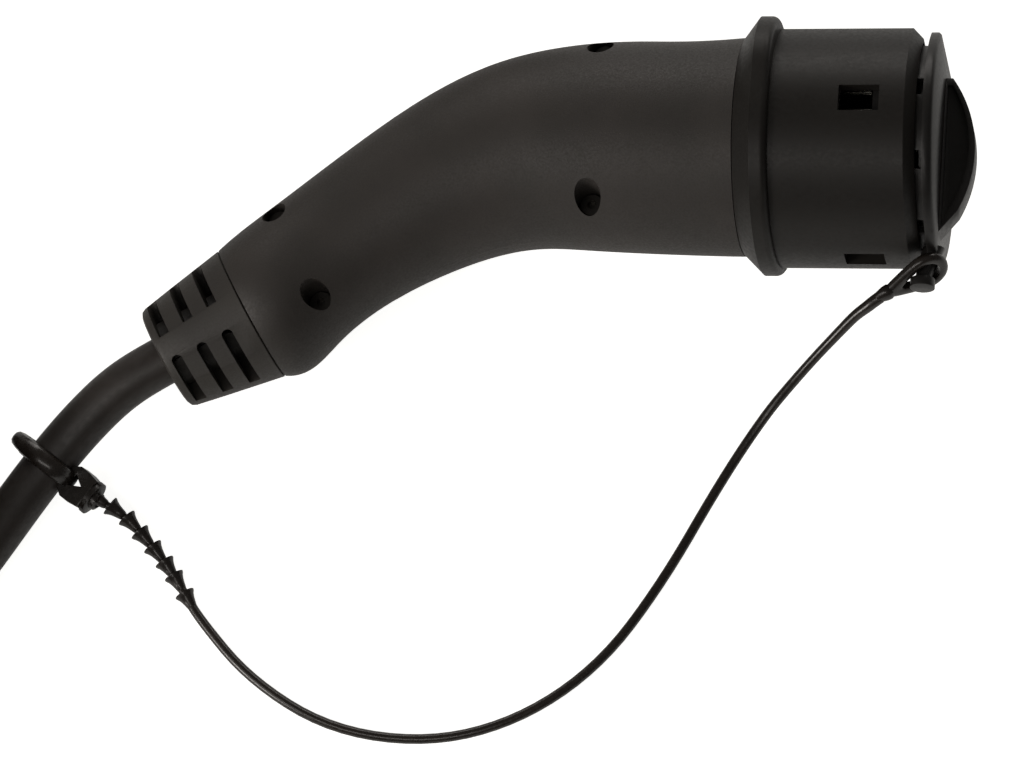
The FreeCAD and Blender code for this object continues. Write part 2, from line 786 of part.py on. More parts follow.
def fin_outline(sketch, inset):
    """Grip fin in the middle plane: straight top, curved front, sloping lower end."""
    root = cap_front + " - 0.5" if inset == "0" else cap_front + " + 0.6"
    return outline(sketch, [
        (root, "fin_top - (%s)" % inset),
        (cap_front + " + fin_corner", "fin_top - (%s)" % inset),
        (cap_front + " + fin_heel - (%s)" % inset, "-fin_bottom + 6.5 + (%s) / 2" % inset),
        (root, "-fin_bottom + 1.2 * (%s)" % inset),
    ], {1: "fin_curve - (%s)" % inset})


# Gasket ring inside the cap and the gasket behind the bend relief
def make_cap_seal(name, place):
    body = new_body(name)
    ring = flat_circle(new_sketch(body, name + "_ring", "YZ_Plane", cap_back),
                       skirt_radius + " - skirt_wall - pin_gap", skirt_flat + " - skirt_wall - pin_gap")
    feature(body, "Pad", name + "_pad", ring, "seal_depth", reverse=True)
    middle = flat_circle(
        new_sketch(body, name + "_middle", "YZ_Plane", cap_back),
        skirt_radius + " - skirt_wall - seal_width", skirt_flat + " - skirt_wall - seal_width",
    )
    feature(body, "Pocket", name + "_hole", middle, "seal_depth + 1")
    return keep(body, name, place)


def tube_piece(name, outer, inner, start, length):
    """Ring about the tail's axis, from a distance inside or outside the joint."""
    solid = cylinder(name + "_outer", outer, length)
    hole = cylinder(name + "_inner", inner, length)
    for item in (solid, hole):
        item.Placement = FreeCAD.Placement(FreeCAD.Vector(), turn((0, 1, 0), 90))
        bind(item, "Placement.Base.x", start)
    return cut(name + "_ring", solid, hole)


# Hose-type clamp on the sheath: ring with a slit ear, drawn tight by one screw
def make_clamp(name, place):
    start = "-clamp_place - clamp_length"
    ring = tube_piece(name, "clamp_radius", relief_bore, start, "clamp_length")
    ear = doc.addObject("Part::Box", name + "_ear")
    bind(ear, "Length", "clamp_length")
    bind(ear, "Width", "ear_width + 1.5")
    bind(ear, "Height", "ear_height")
    ear.Placement = shift(0, 0, 0)
    bind(ear, "Placement.Base.x", start)
    bind(ear, "Placement.Base.y", "-clamp_radius - ear_width")
    bind(ear, "Placement.Base.z", "-ear_height / 2")
    slit = doc.addObject("Part::Box", name + "_slit")
    bind(slit, "Length", "clamp_length + 2")
    bind(slit, "Width", "clamp_radius + ear_width - cable_radius + 1")
    bind(slit, "Height", "clamp_slit")
    bind(slit, "Placement.Base.x", start + " - 1")
    bind(slit, "Placement.Base.y", "-clamp_radius - ear_width - 1")
    bind(slit, "Placement.Base.z", "-clamp_slit / 2")
    hole = cylinder(name + "_hole", "shank_radius + pin_gap", "ear_height + 2")
    bind(hole, "Placement.Base.x", start + " + clamp_length / 2")
    bind(hole, "Placement.Base.y", "-clamp_radius - ear_width / 2")
    bind(hole, "Placement.Base.z", "-ear_height / 2 - 1")
    solid = fuse(name + "_whole", [ring, ear])
    return keep(cut(name + "_cut", solid, fuse(name + "_gaps", [slit, hole])), name, place)


def make_clamp_screw(name, place):
    head = cylinder(name + "_head", "head_radius", "head_height")
    shank = cylinder(name + "_shank", "shank_radius", "ear_height + 1")
    for item, rise in ((head, "ear_height / 2"), (shank, "-ear_height / 2 - 1")):
        bind(item, "Placement.Base.x", "-clamp_place - clamp_length / 2")
        bind(item, "Placement.Base.y", "-clamp_radius - ear_width / 2")
        bind(item, "Placement.Base.z", rise)
    return keep(fuse(name + "_body", [head, shank]), name, place)


def make_round(name, outer, inner, start, length, place):
    return keep(tube_piece(name, outer, inner, start, length), name, place)


# Places of the cores round the sheath's axis, in the order PE, N, L3, L2, L1, control pilot
core_angles = [295, 193, 128.5, 64, -0.5, 244]


# Sheathed cable inside the handle, from the clamp to the end of the bend relief
def make_entry(name, place):
    solid = cylinder(name + "_sheath", "cable_radius", "entry_reach + relief_length")
    wells = []
    for k in range(6):
        angle = math.radians(core_angles[k])
        ring = size("core_ring")
        wells.append(cylinder("%s_well%d" % (name, k + 1),
                              ("power_core" if k < 5 else "signal_core") + " + pin_gap",
                              "core_bury + 1",
                              shift(ring * math.cos(angle), ring * math.sin(angle), -1)))
    item = cut(name + "_ends", solid, fuse(name + "_wells", wells))
    around = FreeCAD.Placement(FreeCAD.Vector(-size("entry_reach"), 0, 0), turn((0, 1, 0), 90))
    return keep(item, name, place * around)


# Round cords: straight runs joined by tangent arcs
def tube_shape(points, radius):
    corners = [FreeCAD.Vector(*p) for p in points]
    edges, radii, start = [], [], corners[0]
    for before, corner, after in zip(corners, corners[1:], corners[2:]):
        first, second = corner - before, after - corner
        half = first.getAngle(second) / 2
        bend = 0.45 * min(first.Length, second.Length) / math.tan(half)
        radii.append(bend)
        reach = bend * math.tan(half)
        enter = corner - first.normalize() * reach
        leave = corner + second.normalize() * reach
        inward = (leave + enter) / 2 - corner
        depth = bend / math.cos(half) - bend
        middle = corner + inward.normalize() * depth
        edges.append(Part.LineSegment(start, enter).toShape())
        edges.append(Part.Arc(enter, middle, leave).toShape())
        start = leave
    edges.append(Part.LineSegment(start, corners[-1]).toShape())
    path = Part.Wire(edges)
    ring = Part.Wire([Part.makeCircle(radius, corners[0], corners[1] - corners[0])])
    return path.makePipeShell([ring], True, False), path.Length, radii


def tube(name, points, radius):
    solid, length, radii = tube_shape(points, radius)
    item = doc.addObject("Part::Feature", name)
    item.Shape = solid
    print("%s: length %.1f mm, bend radii %s, volume %.0f of %.0f" % (
        name, length, [round(r) for r in radii], solid.Volume, math.pi * radius ** 2 * length))
    return keep(item, name, FreeCAD.Placement())


def direction(place, x, y, z=0):
    return place.Rotation.multVec(FreeCAD.Vector(x, y, z))


# Cores from the barrels to the end of the sheath
def make_cores(place):
    order = ["pe", "n", "l_three", "l_two", "l_one", "control_pilot"]
    depth = size(carrier_back + " + barrel_length - bore_depth")
    barrel = size(carrier_back + " + barrel_length")
    for k, contact in enumerate(order):
        rise, across, kind = contacts[contact]
        y, z = size(rise), size(across)
        angle = math.radians(core_angles[k])
        ring = size("core_ring")
        around = place * tail * FreeCAD.Placement(
            FreeCAD.Vector(-size("entry_reach"), 0, 0), turn((0, 1, 0), 90)
        )
        spread_x, spread_y = ring * math.cos(angle), ring * math.sin(angle)
        inner = around.multVec(FreeCAD.Vector(spread_x, spread_y, size("core_bury")))
        mouth = around.multVec(FreeCAD.Vector(spread_x, spread_y, -15 - k))
        tube(contact + "_core", [
            place.multVec(FreeCAD.Vector(-depth, y, z)),
            place.multVec(FreeCAD.Vector(-barrel - 6 - k / 2, y, z)),
            place.multVec(FreeCAD.Vector(-54 - k, 0.5 * y + 0.8, 0.6 * z)),
            mouth,
            inner,
        ], size(kind + "_core"))


# Coding resistor between the proximity and earth barrels
def make_resistor(name, place):
    y, z = size("signal_rise"), size("-signal_pitch")
    span = math.hypot(y, z)
    start = size("power_radius + barrel_extra")
    end = span - size("signal_radius + barrel_extra")
    lead = doc.addObject("Part::Cylinder", name + "_lead")
    bind(lead, "Radius", "lead_radius")
    lead.Height = end - start
    lead.Placement = shift(0, 0, start)
    case = cylinder(name + "_case", "resistor_radius", "resistor_length",
                    shift(0, 0, (start + end) / 2 - size("resistor_length") / 2))
    lean = FreeCAD.Rotation(FreeCAD.Vector(0, 0, 1), FreeCAD.Vector(0, y, z))
    back = size(carrier_back + " + retainer_width + 3")
    at_pins = FreeCAD.Placement(FreeCAD.Vector(-back, 0, 0), lean)
    return keep(fuse(name + "_body", [lead, case]), name, place * at_pins)


# Retainer screws, two in one node
def make_retainer_screws(name, place):
    screws = []
    for k, rise in enumerate((size("retainer_screw"), -size("retainer_screw"))):
        x = "-%s - retainer_width" % carrier_back
        head = cylinder("%s_head%d" % (name, k + 1), "head_radius", "head_height")
        head.Placement = FreeCAD.Placement(FreeCAD.Vector(0, rise, 0), turn((0, 1, 0), -90))
        bind(head, "Placement.Base.x", x)
        shank = cylinder("%s_shank%d" % (name, k + 1), "shank_radius", "retainer_width + 2")
        shank.Placement = FreeCAD.Placement(FreeCAD.Vector(0, rise, 0), turn((0, 1, 0), 90))
        bind(shank, "Placement.Base.x", x)
        screws.append(fuse("%s_%d" % (name, k + 1), [head, shank]))
    group = doc.addObject("Part::Compound", name + "_group")
    group.Links = screws
    return keep(group, name, place)


# Eyelet: ring over the cap's peg, with a neck that the strap leaves from
def make_eyelet(name, place):
    ring = cylinder(name + "_ring", "eyelet_radius", "eyelet_width")
    neck = doc.addObject("Part::Cone", name + "_neck")
    bind(neck, "Radius1", "strap_radius")
    bind(neck, "Radius2", "neck_width / 2")
    bind(neck, "Height", "neck_reach - eyelet_hole - 1")
    neck.Placement = FreeCAD.Placement(FreeCAD.Vector(), turn((0, 1, 0), 90))
    bind(neck, "Placement.Base.x", "-neck_reach")
    bind(neck, "Placement.Base.z", "eyelet_width / 2")
    hole = cylinder(name + "_hole", "eyelet_hole", "eyelet_width + 8")
    bind(hole, "Placement.Base.z", "-4")
    item = cut(name + "_open", fuse(name + "_solid", [ring, neck]), hole)
    return keep(item, name, place)


cap_middle = size(cap_back + " + cap_thickness / 2")
hang = size("eyelet_hole - peg_radius - pin_gap")
eyelet_place = rest * FreeCAD.Placement(
    FreeCAD.Vector(cap_middle, -size("cap_radius + eyelet_drop") + 0.4, -hang),
    turn((0, 0, 1), size("eyelet_turn")) * turn((1, 0, 0), 90),
) * shift(0, 0, -size("eyelet_width") / 2)


def on_floor(x, y, z):
    """Point given from the near flange's centre, moved to the frame's origin."""
    return FreeCAD.Vector(x + size("base_x"), y + size("base_y"), z)


strap_start = eyelet_place.multVec(FreeCAD.Vector(-size("neck_reach"), 0, size("eyelet_width") / 2))
strap_points = [
    strap_start,
    strap_start - direction(eyelet_place, 1, 0) * 6,
    on_floor(15.4, -47.2, 30.0),
    on_floor(13.6, -53.5, 23.8),
    on_floor(7.5, -61.5, 15.5),
    on_floor(-1.0, -71.5, 8.0),
    on_floor(-12.5, -87.0, 3.0),
    on_floor(-25.9, -112.0, 1.35),
    on_floor(-40.3, -133.6, 1.3),
    on_floor(-59.8, -149.4, 1.35),
    on_floor(-82.5, -157.0, 1.3),
    on_floor(-108.9, -155.1, 1.35),
    on_floor(-131.3, -143.0, 1.35),
    on_floor(-146.3, -127.6, 1.7),
    on_floor(-151.2, -120.7, 2.4),
]

barb_points = [
    on_floor(-151.2, -120.7, 2.4),
    on_floor(-153.9, -117.0, 2.8),
    on_floor(-156.8, -113.4, 3.3),
    on_floor(-159.9, -110.0, 3.8),
    on_floor(-163.2, -106.7, 4.4),
    on_floor(-166.5, -103.5, 5.0),
    on_floor(-170.4, -100.6, 5.7),
]

cable_exit = (rest * tail).multVec(FreeCAD.Vector(size("relief_length"), 0, 0))
exit_ahead = direction(rest * tail, 1, 0)

# The coil's outer ring starts in line with the lead, and its place follows from there
ring_reach = size("coil_radius + coil_pitch")
coil_lift = size("cable_radius + tie_wall")
lead_join = on_floor(size("join_x"), size("join_y"), coil_lift)
coil_place = FreeCAD.Placement(lead_join, turn((0, 0, 1), size("coil_turn"))) * shift(
    -ring_reach, -size("stub_length"))
far_join = coil_place.multVec(FreeCAD.Vector(-ring_reach, size("stub_length"), 0))
stub_ahead = direction(coil_place, 0, 1)
cable_points = [
    cable_exit,
    cable_exit + exit_ahead * 7,
    on_floor(-173.6, -70.3, 15.3),
    on_floor(-180.6, -77.3, 12.9),
    on_floor(-187.6, -85.6, 10.3),
    lead_join + stub_ahead * 12.5,
    lead_join,
]
far_exit = (far_rest * tail).multVec(FreeCAD.Vector(size("relief_length"), 0, 0))
far_ahead = direction(far_rest * tail, 1, 0)
far_points = [
    far_exit,
    far_exit + far_ahead * 22,
    far_join + stub_ahead * 40,
    far_join,
]


# Frame of the strap's head: X away from the cable, Y along it, Z upwards
head_along = (cable_points[5] - cable_points[4]).normalize() * -1
head_side = head_along.cross(FreeCAD.Vector(0, 0, 1)).normalize()
head_place = FreeCAD.Placement(
    cable_points[4] - head_along * 4.0,
    FreeCAD.Rotation(head_side, head_along, head_side.cross(head_along), "ZXY"),
)
for reach in (1.2, -1.9):
    barb_points.append(head_place.multVec(FreeCAD.Vector(
        size("cable_radius + loop_wall + block_length") + reach,
        0,
        size("block_height / 2 - block_drop"),
    )))


# Strap parts on the cable side: barbed end, and the head whose loop holds the cable
def barb_chain(name):
    core = tube_shape(barb_points, size("strap_radius") - 0.1)[0]
    barbs = []
    for start, end in zip(barb_points[:-2], barb_points[1:-1]):
        base, rim, length = size("strap_radius") - 0.4, size("barb_radius"), size("barb_length")
        corners = [(0, 0), (base, 0), (rim, length), (rim, length + 0.4), (0, length + 0.4), (0, 0)]
        face = Part.Face(Part.makePolygon([FreeCAD.Vector(r, 0, h) for r, h in corners]))
        barb = face.revolve(FreeCAD.Vector(), FreeCAD.Vector(0, 0, 1), 360)
        barb.Placement = FreeCAD.Placement(
            start, FreeCAD.Rotation(FreeCAD.Vector(0, 0, 1), end - start)
        )
        barbs.append(barb)
    item = doc.addObject("Part::Feature", name)
    item.Shape = core.multiFuse(barbs)
    return keep(item, name, FreeCAD.Placement())


def make_head(name):
    ring = cylinder(name + "_ring", "cable_radius + loop_wall", "loop_width")
    ring.Placement = head_place * FreeCAD.Placement(FreeCAD.Vector(0, -size("loop_width") / 2, 0),
                                                    turn((1, 0, 0), -90))
    hole = cylinder(name + "_hole", "cable_radius + loop_gap", "4 * loop_width")
    hole.Placement = head_place * FreeCAD.Placement(FreeCAD.Vector(0, -2 * size("loop_width"), 0),
                                                    turn((1, 0, 0), -90))
    block = doc.addObject("Part::Box", name + "_block")
    bind(block, "Length", "block_length")
    bind(block, "Width", "block_width")
    bind(block, "Height", "block_height")
    block.Placement = head_place * shift(
        size("cable_radius + loop_wall") - 2.0, -size("block_width") / 2, -size("block_drop"))
    item = cut(name + "_open", fuse(name + "_solid", [ring, block]), hole)
    return keep(item, name, FreeCAD.Placement())


# Coil of spare cable: rows of rings filled between, with the two leads leaving straight
def make_coil(name):
    parts = []
    for layer in range(3):
        for turn_number in (-1, 0, 1):
            if layer == 1 and turn_number == 0:
                continue
            ring = doc.addObject("Part::Torus", "%s_ring_%d_%d" % (name, layer + 1, turn_number + 2))
            bind(ring, "Radius1", "coil_radius + coil_pitch * %d" % turn_number)
            bind(ring, "Radius2", "cable_radius")
            bind(ring, "Placement.Base.z", "coil_pitch * %d" % layer)
            parts.append(ring)
    wide = cylinder(name + "_wide", "coil_radius + coil_pitch", "2 * coil_pitch")
    narrow = cylinder(name + "_narrow", "coil_radius - coil_pitch", "2 * coil_pitch")
    parts.append(cut(name + "_filling", wide, narrow))
    leads = [fuse(name + "_turns", parts)]
    for side in (1, -1):
        stub = cylinder("%s_lead%d" % (name, (3 - side) // 2), "cable_radius",
                        "stub_length - stub_start")
        stub.Placement = FreeCAD.Placement(FreeCAD.Vector(), turn((1, 0, 0), -90))
        bind(stub, "Placement.Base.x", "%d * (coil_radius + coil_pitch)" % side)
        bind(stub, "Placement.Base.y", "stub_start")
        leads.append(stub)
    return keep(fuse(name + "_whole", leads), name, coil_place)


def make_tie(name):
    shell = doc.addObject("Part::Box", name + "_outside")
    space = doc.addObject("Part::Box", name + "_inside")
    inner = "2 * coil_pitch + 2 * cable_radius"
    bind(shell, "Length", "tie_width")
    bind(shell, "Width", inner + " + 2 * tie_gap + 2 * tie_wall")
    bind(shell, "Height", inner + " + 2 * tie_wall + pin_gap")
    bind(space, "Length", "tie_width + 2")
    bind(space, "Width", inner + " + 2 * tie_gap")
    bind(space, "Height", inner + " + pin_gap")
    bind(shell, "Placement.Base.y", "-(2 * coil_pitch + 2 * cable_radius) / 2 - tie_gap - tie_wall")
    bind(space, "Placement.Base.y", "-(2 * coil_pitch + 2 * cable_radius) / 2 - tie_gap")
    bind(space, "Placement.Base.x", "-1")
    bind(space, "Placement.Base.z", "tie_wall")
    place = coil_place * shift(-size("tie_width") / 2, 0.45 - size("coil_radius"), -coil_lift)
    return keep(cut(name + "_band", shell, space), name, place)


# Far connector: same handle, with a base that carries socket towers instead of pins
def make_insert(name, place):
    body = new_body(name)
    disc = flat_circle(new_sketch(body, name + "_disc", "YZ_Plane", "-seat_depth"),
                       skirt_radius, skirt_flat)
    feature(body, "Pad", name + "_disc_pad", disc, "seat_depth + " + socket_foot)
    boss = circle_at(new_sketch(body, name + "_boss", "YZ_Plane", "-seat_depth"), "boss_radius")
    feature(body, "Pad", name + "_boss_pad", boss, "carrier_boss", reverse=True)
    return keep(body, name, place)


# Socket tower for one contact, standing on the base
def make_socket(name, rise, across, kind, place):
    body = new_body(name)
    outside = circle_at(new_sketch(body, name + "_outside", "YZ_Plane", socket_foot),
                        kind + "_radius + socket_gap + socket_wall", rise, across)
    feature(body, "Pad", name + "_pad", outside, "power_reach + socket_floor")
    hole = circle_at(new_sketch(body, name + "_hole", "YZ_Plane", "nose_length - socket_inset"),
                     kind + "_radius + socket_gap", rise, across)
    feature(body, "Pocket", name + "_bore", hole, "power_reach")
    return keep(body, name, place)


outer = make_loft("handle_outer", "")
inner = make_loft("handle_inner", " - handle_wall")
make_nose_shroud("nose_shroud", rest)
make_carrier("contact_carrier", rest)
for contact, (rise, across, kind) in contacts.items():
    make_pin(contact + "_pin", rise, across, kind, rest)
make_retainer("retainer_plate", rest)
make_retainer_screws("retainer_screws", rest)
make_resistor("coding_resistor", rest)
make_shell("housing_left", 1, outer, inner, rest)
make_shell("housing_right", -1, outer, inner, rest)
make_screws("housing_screws", rest)
make_relief("bend_relief", rest * tail)
make_round("gland_seal", "gasket_radius", relief_bore, "-relief_spigot - gasket_width",
           "gasket_width", rest * tail)
make_clamp("cable_clamp", rest * tail)
make_clamp_screw("clamp_screw", rest * tail)
make_entry("cable_entry", rest * tail)
make_cores(rest)
make_cap("dust_cap", rest)
make_cap_seal("cap_seal", rest)
make_eyelet("strap_eyelet", eyelet_place)
tube("strap", strap_points, size("strap_radius"))
barb_chain("strap_barbs")
make_head("strap_head")
tube("cable", cable_points, size("cable_radius"))
make_coil("cable_coil")
make_tie("coil_tie")
tube("cable_far", far_points, size("cable_radius"))
make_nose_shroud("far_nose", far_rest, windows=False)
make_insert("far_insert", far_rest)
for contact, (rise, across, kind) in contacts.items():
    make_socket("far_%s_socket" % contact, rise, across, kind, far_rest)
make_shell("far_housing_left", 1, outer, inner, far_rest)
make_shell("far_housing_right", -1, outer, inner, far_rest)
make_screws("far_housing_screws", far_rest)
make_relief("far_bend_relief", far_rest * tail)
make_round("far_cable_entry", "cable_radius", "lead_radius", "-entry_reach",
           "entry_reach + relief_length", far_rest * tail)

doc.recompute()
for item in doc.Objects:
    if "Invalid" in item.State or "Error" in item.State:
        raise SystemExit("%s: %s" % (item.Name, item.State))
for item in nodes:
    shape = item.Shape
    if shape.isNull() or not shape.isValid() or shape.Volume <= 0:
        raise SystemExit("%s has no valid solid" % item.Label)
    box = shape.BoundBox
    print("%s: %d solid(s), %.0f mm3, x %.1f..%.1f y %.1f..%.1f z %.1f..%.1f" % (
        item.Label, len(shape.Solids), shape.Volume, box.XMin, box.XMax, box.YMin, box.YMax,
        box.ZMin, box.ZMax))
    shape.exportStep("parts/%s.step" % item.Label)
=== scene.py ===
import math

import bpy
from mathutils import Matrix, Vector


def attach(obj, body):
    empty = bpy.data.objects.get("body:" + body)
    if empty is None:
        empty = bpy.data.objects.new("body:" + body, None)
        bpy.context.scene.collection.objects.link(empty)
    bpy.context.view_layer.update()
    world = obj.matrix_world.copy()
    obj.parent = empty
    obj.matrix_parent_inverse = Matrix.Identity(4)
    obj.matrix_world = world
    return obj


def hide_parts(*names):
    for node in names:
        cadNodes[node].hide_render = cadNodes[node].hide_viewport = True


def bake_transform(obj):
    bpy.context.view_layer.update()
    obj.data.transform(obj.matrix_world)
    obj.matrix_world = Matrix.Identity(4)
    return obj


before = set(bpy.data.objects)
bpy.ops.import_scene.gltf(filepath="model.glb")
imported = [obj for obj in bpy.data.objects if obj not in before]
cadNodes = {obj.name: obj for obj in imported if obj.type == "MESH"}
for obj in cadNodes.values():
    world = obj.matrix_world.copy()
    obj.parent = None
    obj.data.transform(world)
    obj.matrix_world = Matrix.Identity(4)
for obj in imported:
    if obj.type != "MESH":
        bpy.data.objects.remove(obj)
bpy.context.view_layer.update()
print("frame loaded with", len(cadNodes), "nodes")

mm = 0.001
weldGap = 0.002 * mm
waveRepeat = math.pi / 10      # a wave texture of scale 1 repeats after this many metres


def toLinear(hexText):
    channels = [int(hexText[at:at + 2], 16) / 255 for at in (1, 3, 5)]
    return [c / 12.92 if c <= 0.04045 else ((c + 0.055) / 1.055) ** 2.4 for c in channels] + [1]


def addNode(tree, kind, values=None, links=None, **settings):
    node = tree.nodes.new(kind)
    for name, value in settings.items():
        setattr(node, name, value)
    for name, value in (values or {}).items():
        node.inputs[name].default_value = value
    for name, source in (links or {}).items():
        tree.links.new(source, node.inputs[name])
    return node


def newMaterial(name):
    material = bpy.data.materials.new(name)
    material.use_nodes = True
    material.node_tree.nodes.clear()
    return material, material.node_tree


def dress(names, material):
    for name in names:
        part = cadNodes[name]
        for slot in part.material_slots:
            slot.material = material
        if not part.material_slots:
            part.data.materials.append(material)


def pick(*pieces):
    if bpy.context.object and bpy.context.object.mode != "OBJECT":
        bpy.ops.object.mode_set(mode="OBJECT")
    bpy.ops.object.select_all(action="DESELECT")
    for piece in pieces:
        piece.select_set(True)
    if pieces:
        bpy.context.view_layer.objects.active = pieces[0]


def applyModifiers(piece):
    pick(piece)
    for modifier in list(piece.modifiers):
        bpy.ops.object.modifier_apply(modifier=modifier.name)


def settle(piece, place=None):
    if place is not None:
        piece.matrix_world = place @ piece.matrix_world
    pick(piece)
    bpy.ops.object.transform_apply(location=True, rotation=True, scale=True)
    return piece


def joinPieces(name, pieces):
    pick(*pieces)
    bpy.ops.object.join()
    whole = bpy.context.object
    whole.name = name
    return whole


def newPart(name):
    piece = bpy.context.object
    piece.name = name
    piece.data.name = name
    bpy.ops.object.transform_apply(location=True, rotation=True, scale=True)
    bpy.ops.object.mode_set(mode="EDIT")
    bpy.ops.mesh.select_all(action="SELECT")
    return piece


def closePart(piece, smoothAngle=40):
    bpy.ops.mesh.select_all(action="SELECT")
    bpy.ops.mesh.remove_doubles(threshold=weldGap)
    bpy.ops.mesh.normals_make_consistent(inside=False)
    bpy.ops.object.mode_set(mode="OBJECT")
    bpy.ops.object.shade_smooth_by_angle(angle=math.radians(smoothAngle))
    return piece


# Rings of (place along X, radius) in millimetres, each extruded and scaled from the last
def raiseRings(name, rings, sides=48, hollow=False, smoothAngle=40):
    pick()
    bpy.ops.mesh.primitive_circle_add(
        vertices=sides, radius=rings[0][1] * mm, fill_type="NOTHING" if hollow else "NGON",
        location=(rings[0][0] * mm, 0, 0), rotation=(0, math.pi / 2, 0))
    piece = newPart(name)
    for (fromX, fromRadius), (toX, toRadius) in zip(rings, rings[1:]):
        bpy.ops.mesh.extrude_region_move(
            TRANSFORM_OT_translate={"value": ((toX - fromX) * mm, 0, 0)})
        bpy.ops.transform.resize(value=(1, toRadius / fromRadius, toRadius / fromRadius),
                                 center_override=(toX * mm, 0, 0))
    if hollow:
        bpy.ops.mesh.select_all(action="DESELECT")
        bpy.ops.mesh.select_non_manifold()
        bpy.ops.mesh.bridge_edge_loops()
    return closePart(piece, smoothAngle)


# Where a piece stands: its own X runs along one direction, its Z as near as can be to the other
def standing(origin, along, up):
    x = Vector(along).normalized()
    z = (Vector(up) - x * x.dot(Vector(up))).normalized()
    place = Matrix((x, z.cross(x), z)).transposed().to_4x4()
    place.translation = Vector(origin) * mm
    return place


def ownCopy(piece, name):
    twin = piece.copy()
    twin.data = piece.data.copy()
    twin.name = name
    bpy.context.collection.objects.link(twin)
    return twin


def carve(piece, cutter):
    cut = piece.modifiers.new("carve", "BOOLEAN")
    cut.operation = "DIFFERENCE"
    cut.solver = "EXACT"
    cut.use_self = True
    cut.object = cutter
    applyModifiers(piece)
    bpy.data.objects.remove(cutter)


def softenEdges(piece, width, angle=35, segments=2):
    edge = piece.modifiers.new("edge", "BEVEL")
    edge.width = width
    edge.segments = segments
    edge.limit_method = "ANGLE"
    edge.angle_limit = math.radians(angle)
    applyModifiers(piece)


# Moulded skins. The pigment runs right through, so only the mould's surface tells them apart:
# a fine grit glitters under a lamp, a polished tool gives a long soft reflection. Specular is
# turned down where the tool's texture is too fine to model and swallows part of the light.
def mouldedSkin(setup):
    material, tree = newMaterial(setup["name"])
    place = addNode(tree, "ShaderNodeTexCoord").outputs["Object"]
    clouds = addNode(tree, "ShaderNodeTexNoise", {"Scale": 1 / setup["cloud"], "Detail": 3.0},
                     {"Vector": place}).outputs["Fac"]
    grit = addNode(tree, "ShaderNodeTexNoise", {"Scale": 1 / setup["grit"], "Detail": 2.0},
                   {"Vector": place}).outputs["Fac"]
    pigment = addNode(tree, "ShaderNodeValToRGB", None, {"Fac": clouds})
    for stop, at, colour in zip(pigment.color_ramp.elements, (0.35, 0.65), setup["colours"]):
        stop.position = at
        stop.color = toLinear(colour)
    gloss = addNode(tree, "ShaderNodeMapRange",
                    {"From Min": 0.3, "From Max": 0.7,
                     "To Min": setup["roughness"][0], "To Max": setup["roughness"][1]},
                    {"Value": grit}).outputs["Result"]
    bump = addNode(tree, "ShaderNodeBump", {"Strength": setup["bump"], "Distance": setup["gritDepth"]},
                   {"Height": grit}).outputs["Normal"]
    shader = addNode(tree, "ShaderNodeBsdfPrincipled",
                     {"IOR": setup["ior"], "Specular IOR Level": setup.get("specular", 0.5)},
                     {"Base Color": pigment.outputs["Color"], "Roughness": gloss, "Normal": bump})
    addNode(tree, "ShaderNodeOutputMaterial", None, {"Surface": shader.outputs["BSDF"]})
    return material


skins = {
    # glass-filled nylon from a spark-eroded mould: warm black, matt, with a fine sparkle
    "handle": {"name": "sparkErodedNylon", "colours": ("#2b2825", "#34302d"), "cloud": 25 * mm,
               "grit": 0.55 * mm, "gritDepth": 0.05 * mm, "bump": 0.5, "roughness": (0.5, 0.68), "ior": 1.5,
               "specular": 0.45},
    # polycarbonate blend from a stoned tool: smoother and a shade darker
    "nose": {"name": "satinPolycarbonate", "colours": ("#1b1917", "#1f1d1a"), "cloud": 40 * mm,
             "grit": 0.9 * mm, "gritDepth": 0.012 * mm, "bump": 0.3, "roughness": (0.4, 0.52), "ior": 1.5,
             "specular": 0.27},
    # soft thermoplastic elastomer over the cable's exit: dull and slightly greyer
    "boot": {"name": "mattElastomer", "colours": ("#2c2926", "#322f2b"), "cloud": 17 * mm,
             "grit": 0.5 * mm, "gritDepth": 0.03 * mm, "bump": 0.4, "roughness": (0.5, 0.66), "ior": 1.5},
    # the cap's rubber, moulded in a polished tool
    "cap": {"name": "satinRubber", "colours": ("#191817", "#1d1c1b"), "cloud": 20 * mm,
            "grit": 0.8 * mm, "gritDepth": 0.01 * mm, "bump": 0.25, "roughness": (0.32, 0.44), "ior": 1.52,
            "specular": 0.32},
    # the strap's rubber is glossier still, almost wet where the lamp catches it
    "strap": {"name": "glossyElastomer", "colours": ("#1e1a17", "#26211d"), "cloud": 8 * mm,
              "grit": 1.2 * mm, "gritDepth": 0.02 * mm, "bump": 0.25, "roughness": (0.2, 0.34), "ior": 1.5},
    # oil-proof polyurethane sheath, drawn smooth, with faint waviness from the cores under it
    "sheath": {"name": "polyurethaneSheath", "colours": ("#272320", "#302b28"), "cloud": 11 * mm,
               "grit": 1.6 * mm, "gritDepth": 0.06 * mm, "bump": 0.3, "roughness": (0.4, 0.54), "ior": 1.5},
    # glass-filled insulator behind the contacts
    "carrier": {"name": "glassFilledInsulator", "colours": ("#1a1a1a", "#222222"), "cloud": 14 * mm,
                "grit": 0.6 * mm, "gritDepth": 0.02 * mm, "bump": 0.3, "roughness": (0.4, 0.5), "ior": 1.55},
}
skinOf = {key: mouldedSkin(setup) for key, setup in skins.items()}


